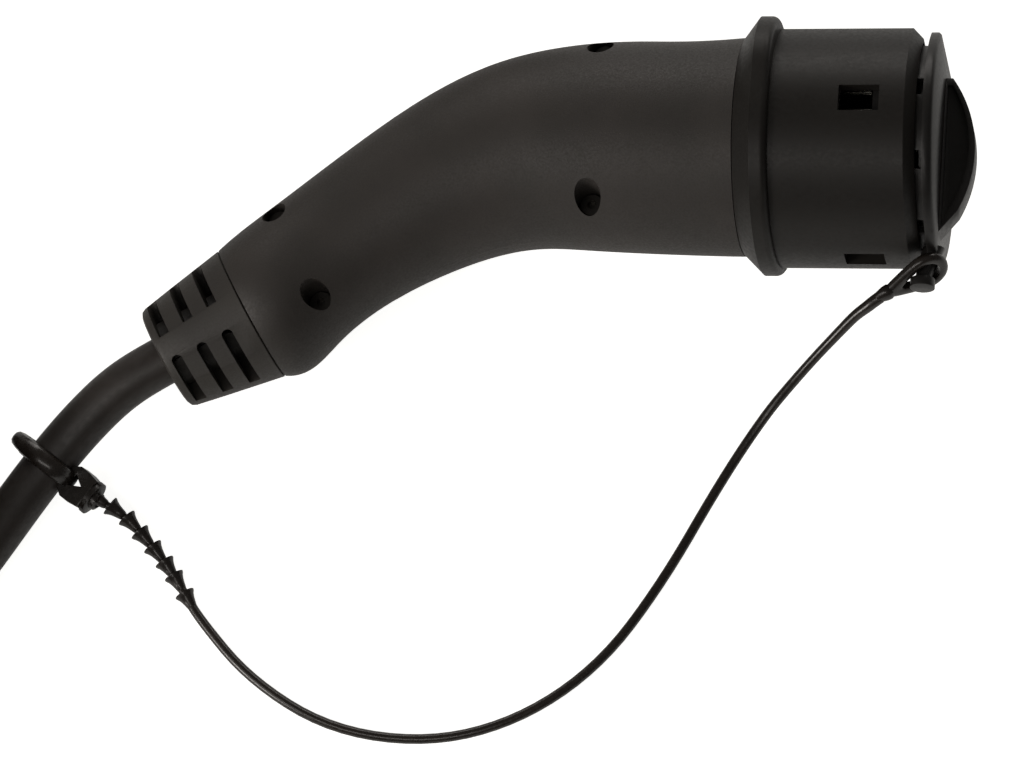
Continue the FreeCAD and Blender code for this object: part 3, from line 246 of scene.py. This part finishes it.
# Plated metals: the turning or drawing marks run round the part and stretch the lamp's reflection
def platedMetal(setup):
    material, tree = newMaterial(setup["name"])
    place = addNode(tree, "ShaderNodeTexCoord").outputs["Object"]
    marks = addNode(tree, "ShaderNodeTexNoise", {"Scale": 1 / setup["markWidth"], "Detail": 2.0},
                    {"Vector": place}).outputs["Fac"]
    gloss = addNode(tree, "ShaderNodeMapRange",
                    {"To Min": setup["roughness"][0], "To Max": setup["roughness"][1]},
                    {"Value": marks}).outputs["Result"]
    bump = addNode(tree, "ShaderNodeBump", {"Strength": 0.2, "Distance": setup["markDepth"]},
                   {"Height": marks}).outputs["Normal"]
    shader = addNode(tree, "ShaderNodeBsdfPrincipled",
                     {"Base Color": toLinear(setup["colour"]), "Metallic": 1.0},
                     {"Roughness": gloss, "Normal": bump})
    addNode(tree, "ShaderNodeOutputMaterial", None, {"Surface": shader.outputs["BSDF"]})
    return material


metals = {
    "contacts": {"name": "silverPlatedBrass", "colour": "#d9d6cd", "markWidth": 0.4 * mm,
                 "markDepth": 0.01 * mm, "roughness": (0.16, 0.28)},
    "screws": {"name": "blackPassivatedSteel", "colour": "#4c4a47", "markWidth": 0.5 * mm,
               "markDepth": 0.02 * mm, "roughness": (0.3, 0.45)},
}
metalOf = {key: platedMetal(setup) for key, setup in metals.items()}


# Core insulation, PVC in the standard colours; the earth core has a yellow stripe along its green
stripeRepeat = 3.49 * mm


def coreInsulation(name, colour, stripe=None):
    material, tree = newMaterial(name)
    place = addNode(tree, "ShaderNodeTexCoord").outputs["Object"]
    bands = addNode(tree, "ShaderNodeTexWave", {"Scale": waveRepeat / stripeRepeat, "Distortion": 0.4},
                    {"Vector": place}, bands_direction="Z").outputs["Fac"]
    paint = addNode(tree, "ShaderNodeValToRGB", None, {"Fac": bands})
    paint.color_ramp.interpolation = "CONSTANT" if stripe else "LINEAR"
    paint.color_ramp.elements[1].position = 0.6
    paint.color_ramp.elements[0].color = toLinear(colour)
    paint.color_ramp.elements[1].color = toLinear(stripe or colour)
    shader = addNode(tree, "ShaderNodeBsdfPrincipled", {"Roughness": 0.38, "IOR": 1.53},
                     {"Base Color": paint.outputs["Color"]})
    addNode(tree, "ShaderNodeOutputMaterial", None, {"Surface": shader.outputs["BSDF"]})
    return material


coreColours = {
    "pe_core": ("earthInsulation", "#3c7a34", "#e0c02c"),
    "n_core": ("neutralInsulation", "#2a5fae", None),
    "l_one_core": ("brownInsulation", "#5f3a22", None),
    "l_two_core": ("blackInsulation", "#1c1c1c", None),
    "l_three_core": ("greyInsulation", "#8b8c8c", None),
    "control_pilot_core": ("pilotInsulation", "#dcdcd6", None),
}
for core, (name, colour, stripe) in coreColours.items():
    dress([core], coreInsulation(name, colour, stripe))

contactNames = ["pe", "n", "l_one", "l_two", "l_three", "control_pilot", "proximity_pilot"]
dress(["housing_left", "housing_right", "far_housing_left", "far_housing_right"], skinOf["handle"])
dress(["nose_shroud", "far_nose"], skinOf["nose"])
dress(["gland_seal"], skinOf["boot"])
dress(["dust_cap", "cap_seal"], skinOf["cap"])
dress(["cable_entry", "far_cable_entry"], skinOf["sheath"])
dress(["contact_carrier", "retainer_plate", "cable_clamp", "far_insert"], skinOf["carrier"])
dress(["far_%s_socket" % name for name in contactNames], skinOf["carrier"])
dress([name + "_pin" for name in contactNames], metalOf["contacts"])
dress(["housing_screws", "far_housing_screws", "retainer_screws", "clamp_screw", "coding_resistor"],
      metalOf["screws"])
print("CAD nodes dressed")


def cordCurve(name, points, width, material, widths=None):
    shape = bpy.data.curves.new(name, "CURVE")
    shape.dimensions = "3D"
    shape.resolution_u = 6
    shape.bevel_depth = width / 2
    shape.bevel_resolution = 6
    shape.use_fill_caps = True
    line = shape.splines.new("NURBS")
    line.points.add(len(points) - 1)
    for at, (control, place) in enumerate(zip(line.points, points)):
        control.co = (place[0] * mm, place[1] * mm, place[2] * mm, 1)
        control.radius = widths[at] if widths else 1
    line.order_u = 3
    line.use_endpoint_u = True
    cord = bpy.data.objects.new(name, shape)
    bpy.context.collection.objects.link(cord)
    shape.materials.append(material)
    return cord


def pointsAlong(cord):
    bare = bpy.data.objects.new(cord.name + "Line", cord.data.copy())
    bare.data.bevel_depth = 0
    bpy.context.collection.objects.link(bare)
    bpy.context.view_layer.update()
    line = bpy.data.meshes.new_from_object(bare.evaluated_get(bpy.context.evaluated_depsgraph_get()))
    places = [corner.co.copy() for corner in line.vertices]
    bpy.data.objects.remove(bare)
    bpy.data.meshes.remove(line)
    return places


# The lead, in millimetres: out of the boot, down onto the floor, eight and a half turns, far plug
lead = {
    "width": 13.0 * mm,
    "start": [(-101.447, -39.291, 17.455), (-107.416, -42.896, 16.843), (-114.7, -48.3, 15.3),
              (-121.7, -55.3, 12.9), (-128.7, -63.6, 10.3), (-136.55, -75.07, 8.0), (-146.3, -92.0, 6.8),
              (-156.9, -110.3, 6.6)],
    "end": [(-309.8, -25.6, 32.6), (-298.0, -5.1, 28.0), (-287.6, 12.8, 20.5), (-276.4, 29.6, 13.6),
            (-260.4, 43.6, 12.2), (-241.6, 55.8, 15.4), (-222.847, 67.109, 17.455)],
}
coil = {
    "centre": (-243.49, -85.5),
    "turned": -30,           # degrees, so that the lead runs straight into the outer ring
    "radius": 75.0,
    "pitch": 13.1,
    "lowest": 6.6,
    "tieLift": 1.4,          # the tie's band passes under the coil, at this place along a turn
    "tieAt": 90,
    "tieSpan": 30,
    "perTurn": 16,
    "sweep": 3060,
    "moveOver": 42,          # degrees in which a strand moves to its next place
    # places in the stack of three by three that the strand takes in turn, and where it moves on
    "cells": [(1, 0), (0, 0), (-1, 0), (-1, 1), (-1, 2), (0, 2), (0, 1), (1, 1), (1, 2)],
    "moves": [293, 653, 996, 1356, 1699, 2041, 2383, 2732],
}


def coilPoints(setup):
    points = []
    step = 360 / setup["perTurn"]
    for count in range(int(setup["sweep"] / step) + 1):
        swept = count * step
        across, up = setup["cells"][0]
        for begin, cellA, cellB in zip(setup["moves"], setup["cells"], setup["cells"][1:]):
            share = min(max((swept - begin) / setup["moveOver"], 0), 1)
            share = share * share * (3 - 2 * share)
            across += share * (cellB[0] - cellA[0])
            up += share * (cellB[1] - cellA[1])
        reach = (setup["radius"] + setup["pitch"] * across) / math.cos(math.pi / setup["perTurn"])
        nearTie = math.exp(-((swept % 360 - setup["tieAt"]) / setup["tieSpan"]) ** 2)
        turned = math.radians(setup["turned"] - swept)
        points.append((setup["centre"][0] + reach * math.cos(turned),
                       setup["centre"][1] + reach * math.sin(turned),
                       setup["lowest"] + setup["tieLift"] * nearTie + setup["pitch"] * up))
    return points


leadRoute = lead["start"] + coilPoints(coil) + lead["end"]
cableLead = cordCurve("cableLead", leadRoute, lead["width"], skinOf["sheath"])
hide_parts("cable", "cable_coil", "cable_far")
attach(cableLead, "cable_set")
print("lead laid with", len(leadRoute), "points")

# The strap lies on the floor in one loose bow, from the barbs to the cap's eyelet
strap = {
    "width": 2.6 * mm,
    "route": [(86.0, -19.3, 35.5), (84.6, -20.2, 34.9), (82.6, -21.4, 33.2), (79.7, -22.8, 30.6),
              (75.1, -26.4, 25.6), (70.3, -30.2, 20.4), (64.2, -35.8, 14.4), (57.0, -43.6, 8.6),
              (46.4, -60.5, 3.0), (33.0, -88.5, 1.35),
              (18.6, -111.6, 1.3), (-0.9, -127.4, 1.35), (-23.6, -135.0, 1.3), (-50.0, -133.1, 1.35),
              (-72.4, -121.0, 1.35), (-87.4, -105.6, 1.7), (-92.3, -98.7, 2.4), (-95.0, -95.0, 2.8),
              (-97.9, -91.4, 3.3), (-101.0, -88.0, 3.8), (-104.3, -84.7, 4.4), (-107.6, -81.5, 5.0),
              (-111.5, -78.6, 5.7), (-115.7, -76.9, 7.5), (-118.3, -75.1, 7.6)],
    # thicker where it leaves the eyelet, thinner in the tail that carries the barbs
    "widths": [1.25, 1.25, 1.2, 1.1, 1.05] + [1.0] * 11 + [0.95] + [0.8] * 8,
}
strapLine = cordCurve("tetherStrap", strap["route"], strap["width"], skinOf["strap"], strap["widths"])
strapPath = pointsAlong(strapLine)
pick(strapLine)
bpy.ops.object.convert(target="MESH")
tetherStrap = bpy.context.object
bpy.ops.object.shade_smooth()
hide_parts("strap")
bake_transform(tetherStrap)
print("strap laid with", len(strapPath), "points along it")


# Barbed tail: trumpet barbs, wide towards the head, that ratchet through its collar
tail = {
    "from": (-89.7, -102.4, 2.0),
    "barb": [(-0.4, 1.0), (0.0, 1.25), (1.2, 1.5), (2.4, 1.8), (3.4, 2.2), (4.1, 2.65), (4.4, 2.7),
             (4.3, 2.35), (3.9, 1.5), (3.8, 0.9)],
    "count": 8,
    "first": 0.6,
    "pitch": 5.2,
}
tailStart = min(strapPath, key=lambda place: (place - Vector(tail["from"]) * mm).length)
tailPath = strapPath[strapPath.index(tailStart):]
firstBarb = raiseRings("barb", tail["barb"], sides=28, smoothAngle=50)
firstBarb.data.materials.append(skinOf["strap"])
barbs = []
walked, barbNumber = 0.0, 0
for fromPoint, toPoint in zip(tailPath, tailPath[1:]):
    walked += (toPoint - fromPoint).length
    if walked >= (tail["first"] + barbNumber * tail["pitch"]) * mm and barbNumber < tail["count"]:
        twin = ownCopy(firstBarb, "barb%d" % barbNumber)
        barbs.append(settle(twin, standing(fromPoint / mm, toPoint - fromPoint, (0, 0, 1))))
        barbNumber += 1
bpy.data.objects.remove(firstBarb)
barbedTail = joinPieces("barbedTail", barbs)
bpy.ops.object.shade_smooth_by_angle(angle=math.radians(50))
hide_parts("strap_barbs")
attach(barbedTail, "cable_set")
print("tail made with", len(barbs), "barbs")

# Strap head: a rounded band holds it round the lead, and the tail is drawn through its collar
head = {
    "centre": (-130.93, -66.86, 9.65),
    "up": (-0.092, -0.135, 0.987),
    "band": [(-2.5, 6.8), (-2.5, 7.5), (-2.1, 8.2), (-1.3, 8.65), (-0.4, 8.8), (0.4, 8.8), (1.3, 8.65),
             (2.1, 8.2), (2.5, 7.5), (2.5, 6.8)],
    # the band stands off the lead on the side away from the strap, and narrows there
    "bulge": {"from": 2.0, "over": 6.0, "by": 3.4, "narrowsFrom": 6.5, "narrows": 0.12},
    # waisted where it meets the band, fullest in the middle
    "block": {"from": 5.4, "to": 14.2, "wide": 9.6, "low": -4.6, "high": 1.4,
              "waist": 0.62, "waistHeight": 0.9, "end": 0.9, "edge": 0.45},
    "window": {"at": 9.2, "aside": 0.4, "radius": 2.1, "lean": 17, "turned": 0.5},
    "collar": [(14.0, 4.3), (14.2, 4.75), (15.5, 4.75), (15.7, 4.3)],
    "boss": [(15.4, 2.7), (16.9, 2.5), (17.3, 1.7), (16.6, 1.2)],
    "collarFlat": 0.78,
    "collarDrop": 2.1,
}


def makeHead(setup, path):
    centre = min(path, key=lambda place: (place - Vector(setup["centre"]) * mm).length)
    at = path.index(centre)
    along = (path[at - 1] - path[at + 1]).normalized()
    away = along.cross(Vector(setup["up"])).normalized()
    place = standing(centre / mm, away, away.cross(along))

    band = raiseRings("band", setup["band"], sides=72, hollow=True, smoothAngle=30)
    settle(band, Matrix.Rotation(math.pi / 2, 4, "Z"))
    bulge = setup["bulge"]
    for corner in band.data.vertices:
        share = min(max((-corner.co.x / mm - bulge["from"]) / bulge["over"], 0), 1)
        corner.co.x -= bulge["by"] * mm * share * share
        if corner.co.x < -bulge["narrowsFrom"] * mm:
            corner.co.y *= 1 - bulge["narrows"] * share

    size = setup["block"]
    pick()
    length, height = size["to"] - size["from"], size["high"] - size["low"]
    bpy.ops.mesh.primitive_cube_add(
        size=1, scale=(length * mm, size["wide"] * mm, height * mm),
        location=((size["to"] + size["from"]) * mm / 2, 0, (size["high"] + size["low"]) * mm / 2))
    block = newPart("block")
    bpy.ops.mesh.subdivide(number_cuts=2)
    closePart(block)
    for corner in block.data.vertices:      # two cuts: the first and last rows are the block's ends
        reach = (corner.co.x / mm - size["from"]) / length
        if reach < 1 / 6:
            corner.co.y *= size["waist"]
            corner.co.z *= size["waistHeight"]
        elif reach > 5 / 6:
            corner.co.y *= size["end"]
    hole = setup["window"]
    pick()
    bpy.ops.mesh.primitive_cylinder_add(vertices=3, radius=hole["radius"] * mm, depth=4 * height * mm,
                                        location=(hole["at"] * mm, hole["aside"] * mm, 0),
                                        rotation=(0, math.radians(hole["lean"]), hole["turned"]))
    carve(block, bpy.context.object)
    softenEdges(block, size["edge"] * mm)

    collar = raiseRings("collar", setup["collar"], sides=40)
    settle(collar, Matrix.Diagonal((1, 1, setup["collarFlat"], 1)))
    boss = raiseRings("boss", setup["boss"], sides=32)
    for ring in (collar, boss):
        settle(ring, Matrix.Translation((0, 0, -setup["collarDrop"] * mm)))
    whole = joinPieces("strapHead", [band, block, collar, boss])
    bpy.ops.object.shade_smooth_by_angle(angle=math.radians(35))
    whole.data.materials.append(skinOf["strap"])
    return settle(whole, place)


strapHead = makeHead(head, pointsAlong(cableLead))
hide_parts("strap_head")
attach(strapHead, "cable_set")
print("strap head made")

# Eyelet on the cap's peg: a round-edged loop drawn out into the strap
eyelet = {
    "base": (97.0, -11.4, 37.6),
    "along": (0.85, 0.50, 0.16),
    "up": (0.40, -0.82, 0.36),
    "ring": [(0.1, 3.3), (-0.1, 3.7), (0.0, 4.8), (0.5, 5.5), (1.3, 5.7), (2.1, 5.5), (2.6, 4.8), (2.7, 3.7),
             (2.5, 3.3), (1.3, 3.15)],
    "drawn": 2.3,            # how far the loop is pulled out towards the strap
    "pinched": 0.35,         # and how much narrower it grows on the way
    "middle": 1.3,
    "tip": [(-14.6, 1.5), (-13.7, 1.75), (-12.2, 2.2), (-11.0, 2.3), (-10.0, 1.7)],
    "tipFlat": 0.8,
}


def makeEyelet(setup):
    ring = raiseRings("ring", setup["ring"], sides=64, hollow=True, smoothAngle=50)
    settle(ring, Matrix.Rotation(-math.pi / 2, 4, "Y"))
    for corner in ring.data.vertices:
        share = max(-corner.co.x / math.hypot(corner.co.x, corner.co.y), 0)
        corner.co.x *= 1 + (setup["drawn"] - 1) * share
        corner.co.y *= 1 - setup["pinched"] * share * share
    tip = raiseRings("tip", setup["tip"], sides=32, smoothAngle=50)
    flattened = Matrix.Diagonal((1, 1, setup["tipFlat"], 1))
    settle(tip, Matrix.Translation((0, 0, setup["middle"] * mm)) @ flattened)
    whole = joinPieces("capEyelet", [ring, tip])
    bpy.ops.object.shade_smooth_by_angle(angle=math.radians(45))
    whole.data.materials.append(skinOf["strap"])
    return settle(whole, standing(setup["base"], setup["along"], setup["up"]))


capEyelet = makeEyelet(eyelet)
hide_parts("strap_eyelet")
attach(capEyelet, "cap")
print("eyelet made")

# The cap keeps its shape, but its peg ends in a small round button and leans towards the handle
peg = {
    "axis": (99.04, 38.0),   # along X and Z
    "button": -16.0,         # along Y; only the button lies beyond
    "shift": (-2.4, 3.0),    # along X and Y
    "buttonScale": 0.57,
    "stemScale": 0.7,
    "stemShare": 0.7,        # of the button's radius; the stem lies within
    "edge": 0.25,
}


def makeCap(setup):
    cap = ownCopy(cadNodes["dust_cap"], "dustCap")
    pick(cap)
    bpy.ops.object.mode_set(mode="EDIT")
    bpy.ops.mesh.select_all(action="SELECT")
    bpy.ops.mesh.remove_doubles(threshold=weldGap)
    bpy.ops.mesh.normals_make_consistent(inside=False)
    bpy.ops.object.mode_set(mode="OBJECT")
    axisX, axisZ = (place * mm for place in setup["axis"])
    reach = max(corner.co.x for corner in cap.data.vertices if corner.co.y < setup["button"] * mm) - axisX
    for corner in cap.data.vertices:
        if corner.co.y > setup["button"] * mm:
            continue
        away = Vector((corner.co.x - axisX, corner.co.z - axisZ))
        outer = away.length > reach * setup["stemShare"]
        away *= setup["buttonScale"] if outer else setup["stemScale"]
        corner.co.x = axisX + away.x + setup["shift"][0] * mm
        corner.co.y += setup["shift"][1] * mm
        corner.co.z = axisZ + away.y
    softenEdges(cap, setup["edge"] * mm, angle=50)
    bpy.ops.object.shade_smooth_by_angle(angle=math.radians(35))
    return cap


dustCap = makeCap(peg)
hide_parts("dust_cap")
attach(dustCap, "cap")
print("cap made")

# Boot over the cable's exit: a taper with columns of round-ended slots, cut down to a solid core
boot = {
    "exit": (-101.447, -39.291, 17.455),
    "along": (-0.8527, -0.5150, -0.0874),
    "toEye": (0.1187, -0.3368, 0.9341),
    "length": 26.0,
    "rings": [(-10.0, 6.6), (-10.0, 15.5), (-0.1, 15.5), (0.15, 18.3), (0.5, 18.7), (8.0, 17.4), (16.0, 16.0),
              (24.4, 14.45), (25.5, 13.9), (26.0, 12.9), (26.0, 6.6)],
    "slotWidth": 3.0,
    "slotPitch": 7.4,
    "slotInset": 7.4,
    "slotArc": 60,           # degrees between the centres of a slot's round ends
    "slotRows": 3,
    "slotColumns": 4,
    "slotDepth": 12.0,
    "coreRadius": 9.4,
    "firstColumn": 21,       # degrees from the side that faces up, towards the near side
    "edge": 0.22,
    "farConnector": (-121.4, 106.4, 0.0),
}


def makeBoot(setup):
    sleeve = raiseRings("bootSleeve", setup["rings"], sides=96, hollow=True, smoothAngle=30)
    depth = setup["slotDepth"] * mm
    middle = (0, 0, setup["coreRadius"] * mm + depth / 2)
    pick()
    bpy.ops.mesh.primitive_plane_add(size=1, location=middle, rotation=(math.pi / 2, 0, 0))
    bpy.context.object.scale = (setup["slotWidth"] * mm, depth, 1)
    slot = newPart("slot")
    half = math.radians(setup["slotArc"]) / 2
    bpy.ops.transform.rotate(value=half, orient_axis="X", center_override=(0, 0, 0))
    bpy.ops.mesh.spin(steps=16, angle=2 * half, center=(0, 0, 0), axis=(1, 0, 0))
    closePart(slot)
    ends = []
    for turn in (-half, half):
        pick()
        bpy.ops.mesh.primitive_cylinder_add(vertices=32, radius=setup["slotWidth"] * mm / 2, depth=depth,
                                            location=middle)
        ends.append(settle(bpy.context.object, Matrix.Rotation(turn, 4, "X")))
    slot = joinPieces("slot", [slot, *ends])
    cutters = []
    for row in range(setup["slotRows"]):
        for column in range(setup["slotColumns"]):
            twin = ownCopy(slot, "slot%d%d" % (row, column))
            turn = math.radians(setup["firstColumn"] + 360 / setup["slotColumns"] * column)
            along = (setup["slotInset"] + setup["slotPitch"] * row) * mm
            cutters.append(settle(twin, Matrix.Translation((along, 0, 0)) @ Matrix.Rotation(turn, 4, "X")))
    bpy.data.objects.remove(slot)
    carve(sleeve, joinPieces("slots", cutters))
    softenEdges(sleeve, setup["edge"] * mm, angle=50)
    bpy.ops.object.shade_smooth_by_angle(angle=math.radians(35))
    sleeve.data.materials.append(skinOf["boot"])
    base = Vector(setup["exit"]) - Vector(setup["along"]).normalized() * setup["length"]
    return settle(sleeve, standing(base, setup["along"], setup["toEye"]))


bootSleeve = makeBoot(boot)
farBoot = settle(ownCopy(bootSleeve, "farBootSleeve"), Matrix.Translation(Vector(boot["farConnector"]) * mm))
for sleeve, node in ((bootSleeve, "bend_relief"), (farBoot, "far_bend_relief")):
    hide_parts(node)
    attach(sleeve, "cable_set")
print("boots made")


# Woven hook-and-loop tape: fine ribs of warp, crossed by the weft, with a dull napped face
def wovenTape(setup):
    material, tree = newMaterial("wovenNylonTape")
    place = addNode(tree, "ShaderNodeTexCoord").outputs["Object"]
    warp = addNode(tree, "ShaderNodeTexWave",
                   {"Scale": waveRepeat / (2 * setup["thread"]), "Distortion": 1.0, "Detail": 1.0},
                   {"Vector": place}, bands_direction="X").outputs["Fac"]
    nap = addNode(tree, "ShaderNodeTexNoise", {"Scale": 1 / setup["thread"], "Detail": 3.0},
                  {"Vector": place}).outputs["Fac"]
    both = addNode(tree, "ShaderNodeMath", None, {0: warp, 1: nap}, operation="MULTIPLY").outputs[0]
    dye = addNode(tree, "ShaderNodeValToRGB", None, {"Fac": both})
    dye.color_ramp.elements[0].color = toLinear(setup["colours"][0])
    dye.color_ramp.elements[1].color = toLinear(setup["colours"][1])
    dye.color_ramp.elements[1].position = 0.7
    bump = addNode(tree, "ShaderNodeBump", {"Strength": 0.8, "Distance": setup["relief"]},
                   {"Height": both}).outputs["Normal"]
    shader = addNode(tree, "ShaderNodeBsdfPrincipled",
                     {"Roughness": 0.9, "Sheen Weight": 0.3, "Sheen Roughness": 0.5},
                     {"Base Color": dye.outputs["Color"], "Normal": bump})
    addNode(tree, "ShaderNodeOutputMaterial", None, {"Surface": shader.outputs["BSDF"]})
    return material


tie = {
    "wide": 20.0,
    "inside": 39.9,          # across the three rings of the coil
    "tall": 39.6,
    "thick": 1.5,
    "corner": 6.5,
    "edge": 0.3,
    # the flap's free end lifts a little
    "flap": {"long": 26.0, "thick": 1.2, "sunk": 1.0, "held": 6.0, "loose": 7.0, "lift": 0.5},
    "material": {"thread": 0.7 * mm, "relief": 0.25 * mm, "colours": ("#1a1a1b", "#3a3a3b")},
}


def makeTie(setup, coilSetup):
    pick()
    bpy.ops.mesh.primitive_cube_add(
        size=1, scale=(setup["wide"] * mm, setup["inside"] * mm, setup["tall"] * mm),
        location=(0, 0, setup["tall"] * mm / 2))
    band = newPart("band")
    bpy.ops.mesh.select_mode(type="FACE")
    bpy.ops.mesh.select_all(action="DESELECT")
    bpy.ops.object.mode_set(mode="OBJECT")
    for face in band.data.polygons:
        face.select = abs(face.normal.x) > 0.9
    bpy.ops.object.mode_set(mode="EDIT")
    bpy.ops.mesh.delete(type="FACE")
    bpy.ops.object.mode_set(mode="OBJECT")
    corners = band.modifiers.new("corners", "BEVEL")
    corners.width = setup["corner"] * mm
    corners.segments = 8
    corners.limit_method = "ANGLE"
    wall = band.modifiers.new("wall", "SOLIDIFY")
    wall.thickness = setup["thick"] * mm
    wall.offset = 1
    applyModifiers(band)
    flapSize = setup["flap"]
    pick()
    bpy.ops.mesh.primitive_cube_add(
        size=1, scale=(setup["wide"] * mm, flapSize["thick"] * mm, flapSize["long"] * mm),
        location=(0, -(setup["inside"] / 2 + setup["thick"] + flapSize["thick"] / 2) * mm,
                  (setup["tall"] / 2 - flapSize["sunk"]) * mm))
    flap = newPart("flap")
    bpy.ops.mesh.subdivide(number_cuts=8)
    closePart(flap)
    held = setup["tall"] / 2 + flapSize["held"]
    for corner in flap.data.vertices:
        lift = max((corner.co.z / mm - held) / flapSize["loose"], 0)
        corner.co.y -= flapSize["lift"] * mm * lift * lift
    whole = joinPieces("coilTie", [band, flap])
    softenEdges(whole, setup["edge"] * mm)
    bpy.ops.object.shade_smooth_by_angle(angle=math.radians(40))
    whole.data.materials.append(wovenTape(setup["material"]))
    centre = Matrix.Translation((coilSetup["centre"][0] * mm, coilSetup["centre"][1] * mm, 0))
    turned = Matrix.Rotation(math.radians(coilSetup["turned"]), 4, "Z")
    across = Matrix.Translation((0, -coilSetup["radius"] * mm, setup["thick"] * mm))
    return settle(whole, centre @ turned @ across)


coilTie = makeTie(tie, coil)
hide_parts("coil_tie")
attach(coilTie, "cable_set")
print("tie made")


# Pale studio floor. It shows white to the lens and in gloss, and still takes a soft shadow.
def studioFloor(setup):
    material, tree = newMaterial("paleStudioFloor")
    ray = addNode(tree, "ShaderNodeLightPath").outputs
    mirrored = addNode(tree, "ShaderNodeMath", {1: setup["mirrored"]}, {0: ray["Is Glossy Ray"]},
                       operation="MULTIPLY").outputs[0]
    strength = addNode(tree, "ShaderNodeMath", {1: setup["glow"]}, {0: ray["Is Camera Ray"], 2: mirrored},
                       operation="MULTIPLY_ADD")
    shader = addNode(tree, "ShaderNodeBsdfPrincipled",
                     {"Base Color": toLinear(setup["colour"]), "Roughness": 0.9,
                      "Emission Color": setup["glowColour"]},
                     {"Emission Strength": strength.outputs[0]})
    addNode(tree, "ShaderNodeOutputMaterial", None, {"Surface": shader.outputs["BSDF"]})
    pick()
    bpy.ops.mesh.primitive_plane_add(size=setup["size"], location=(0, 0, setup["height"]))
    floor = bpy.context.object
    floor.name = "studioFloor"
    floor.data.materials.append(material)


floorSetup = {"size": 8.0, "height": -0.0001, "colour": "#f2f2f0", "glowColour": (1, 1, 0.985, 1),
              "glow": 0.9, "mirrored": 0.25}
studioFloor(floorSetup)

# Two long soft boxes give the handle its pair of broad reflections; a third fills from the left
lampColour = (1, 0.955, 0.91)
lamps = {
    "upperBox": {"place": (0.0, 1.25, 0.62), "size": (1.8, 0.45), "power": 9},
    "lowerBox": {"place": (-0.35, -0.75, 1.25), "size": (1.3, 0.2), "power": 4},
    "leftBox": {"place": (-1.1, -0.75, 0.55), "size": (0.5, 0.5), "power": 9},
}
for name, setup in lamps.items():
    lamp = bpy.data.lights.new(name, "AREA")
    lamp.shape = "RECTANGLE"
    lamp.size, lamp.size_y = setup["size"]
    lamp.energy = setup["power"]
    lamp.color = lampColour
    holder = bpy.data.objects.new(name, lamp)
    holder.matrix_world = Matrix.Translation(setup["place"]) @ (
        -Vector(setup["place"])).to_track_quat("-Z", "Y").to_matrix().to_4x4()
    bpy.context.collection.objects.link(holder)

worldSetup = {"Color": (1, 0.96, 0.92, 1), "Strength": 0.1}
world = bpy.data.worlds.new("studioWorld")
bpy.context.scene.world = world
world.use_nodes = True
for socket, value in worldSetup.items():
    world.node_tree.nodes["Background"].inputs[socket].default_value = value

# The photograph's camera: high over the near side, a long lens
cameraSetup = {"place": (0.1097, -0.3780, 0.9511), "ahead": (-0.1187, 0.3368, -0.9341),
               "up": (-0.0487, 0.9376, 0.3443), "lens": 134.3}
ahead = Vector(cameraSetup["ahead"]).normalized()
right = ahead.cross(Vector(cameraSetup["up"])).normalized()
top = right.cross(ahead)
camera = bpy.data.objects.new("photoCamera", bpy.data.cameras.new("photoCamera"))
camera.data.lens = cameraSetup["lens"]
camera.data.sensor_width = 36
camera.data.clip_start = 0.01
camera.data.clip_end = 50
camera.matrix_world = (Matrix.Translation(cameraSetup["place"])
                       @ Matrix((right, top, -ahead)).transposed().to_4x4())
bpy.context.collection.objects.link(camera)
bpy.context.scene.camera = camera
bpy.context.scene.view_settings.view_transform = "Standard"
print("lamps and camera set")
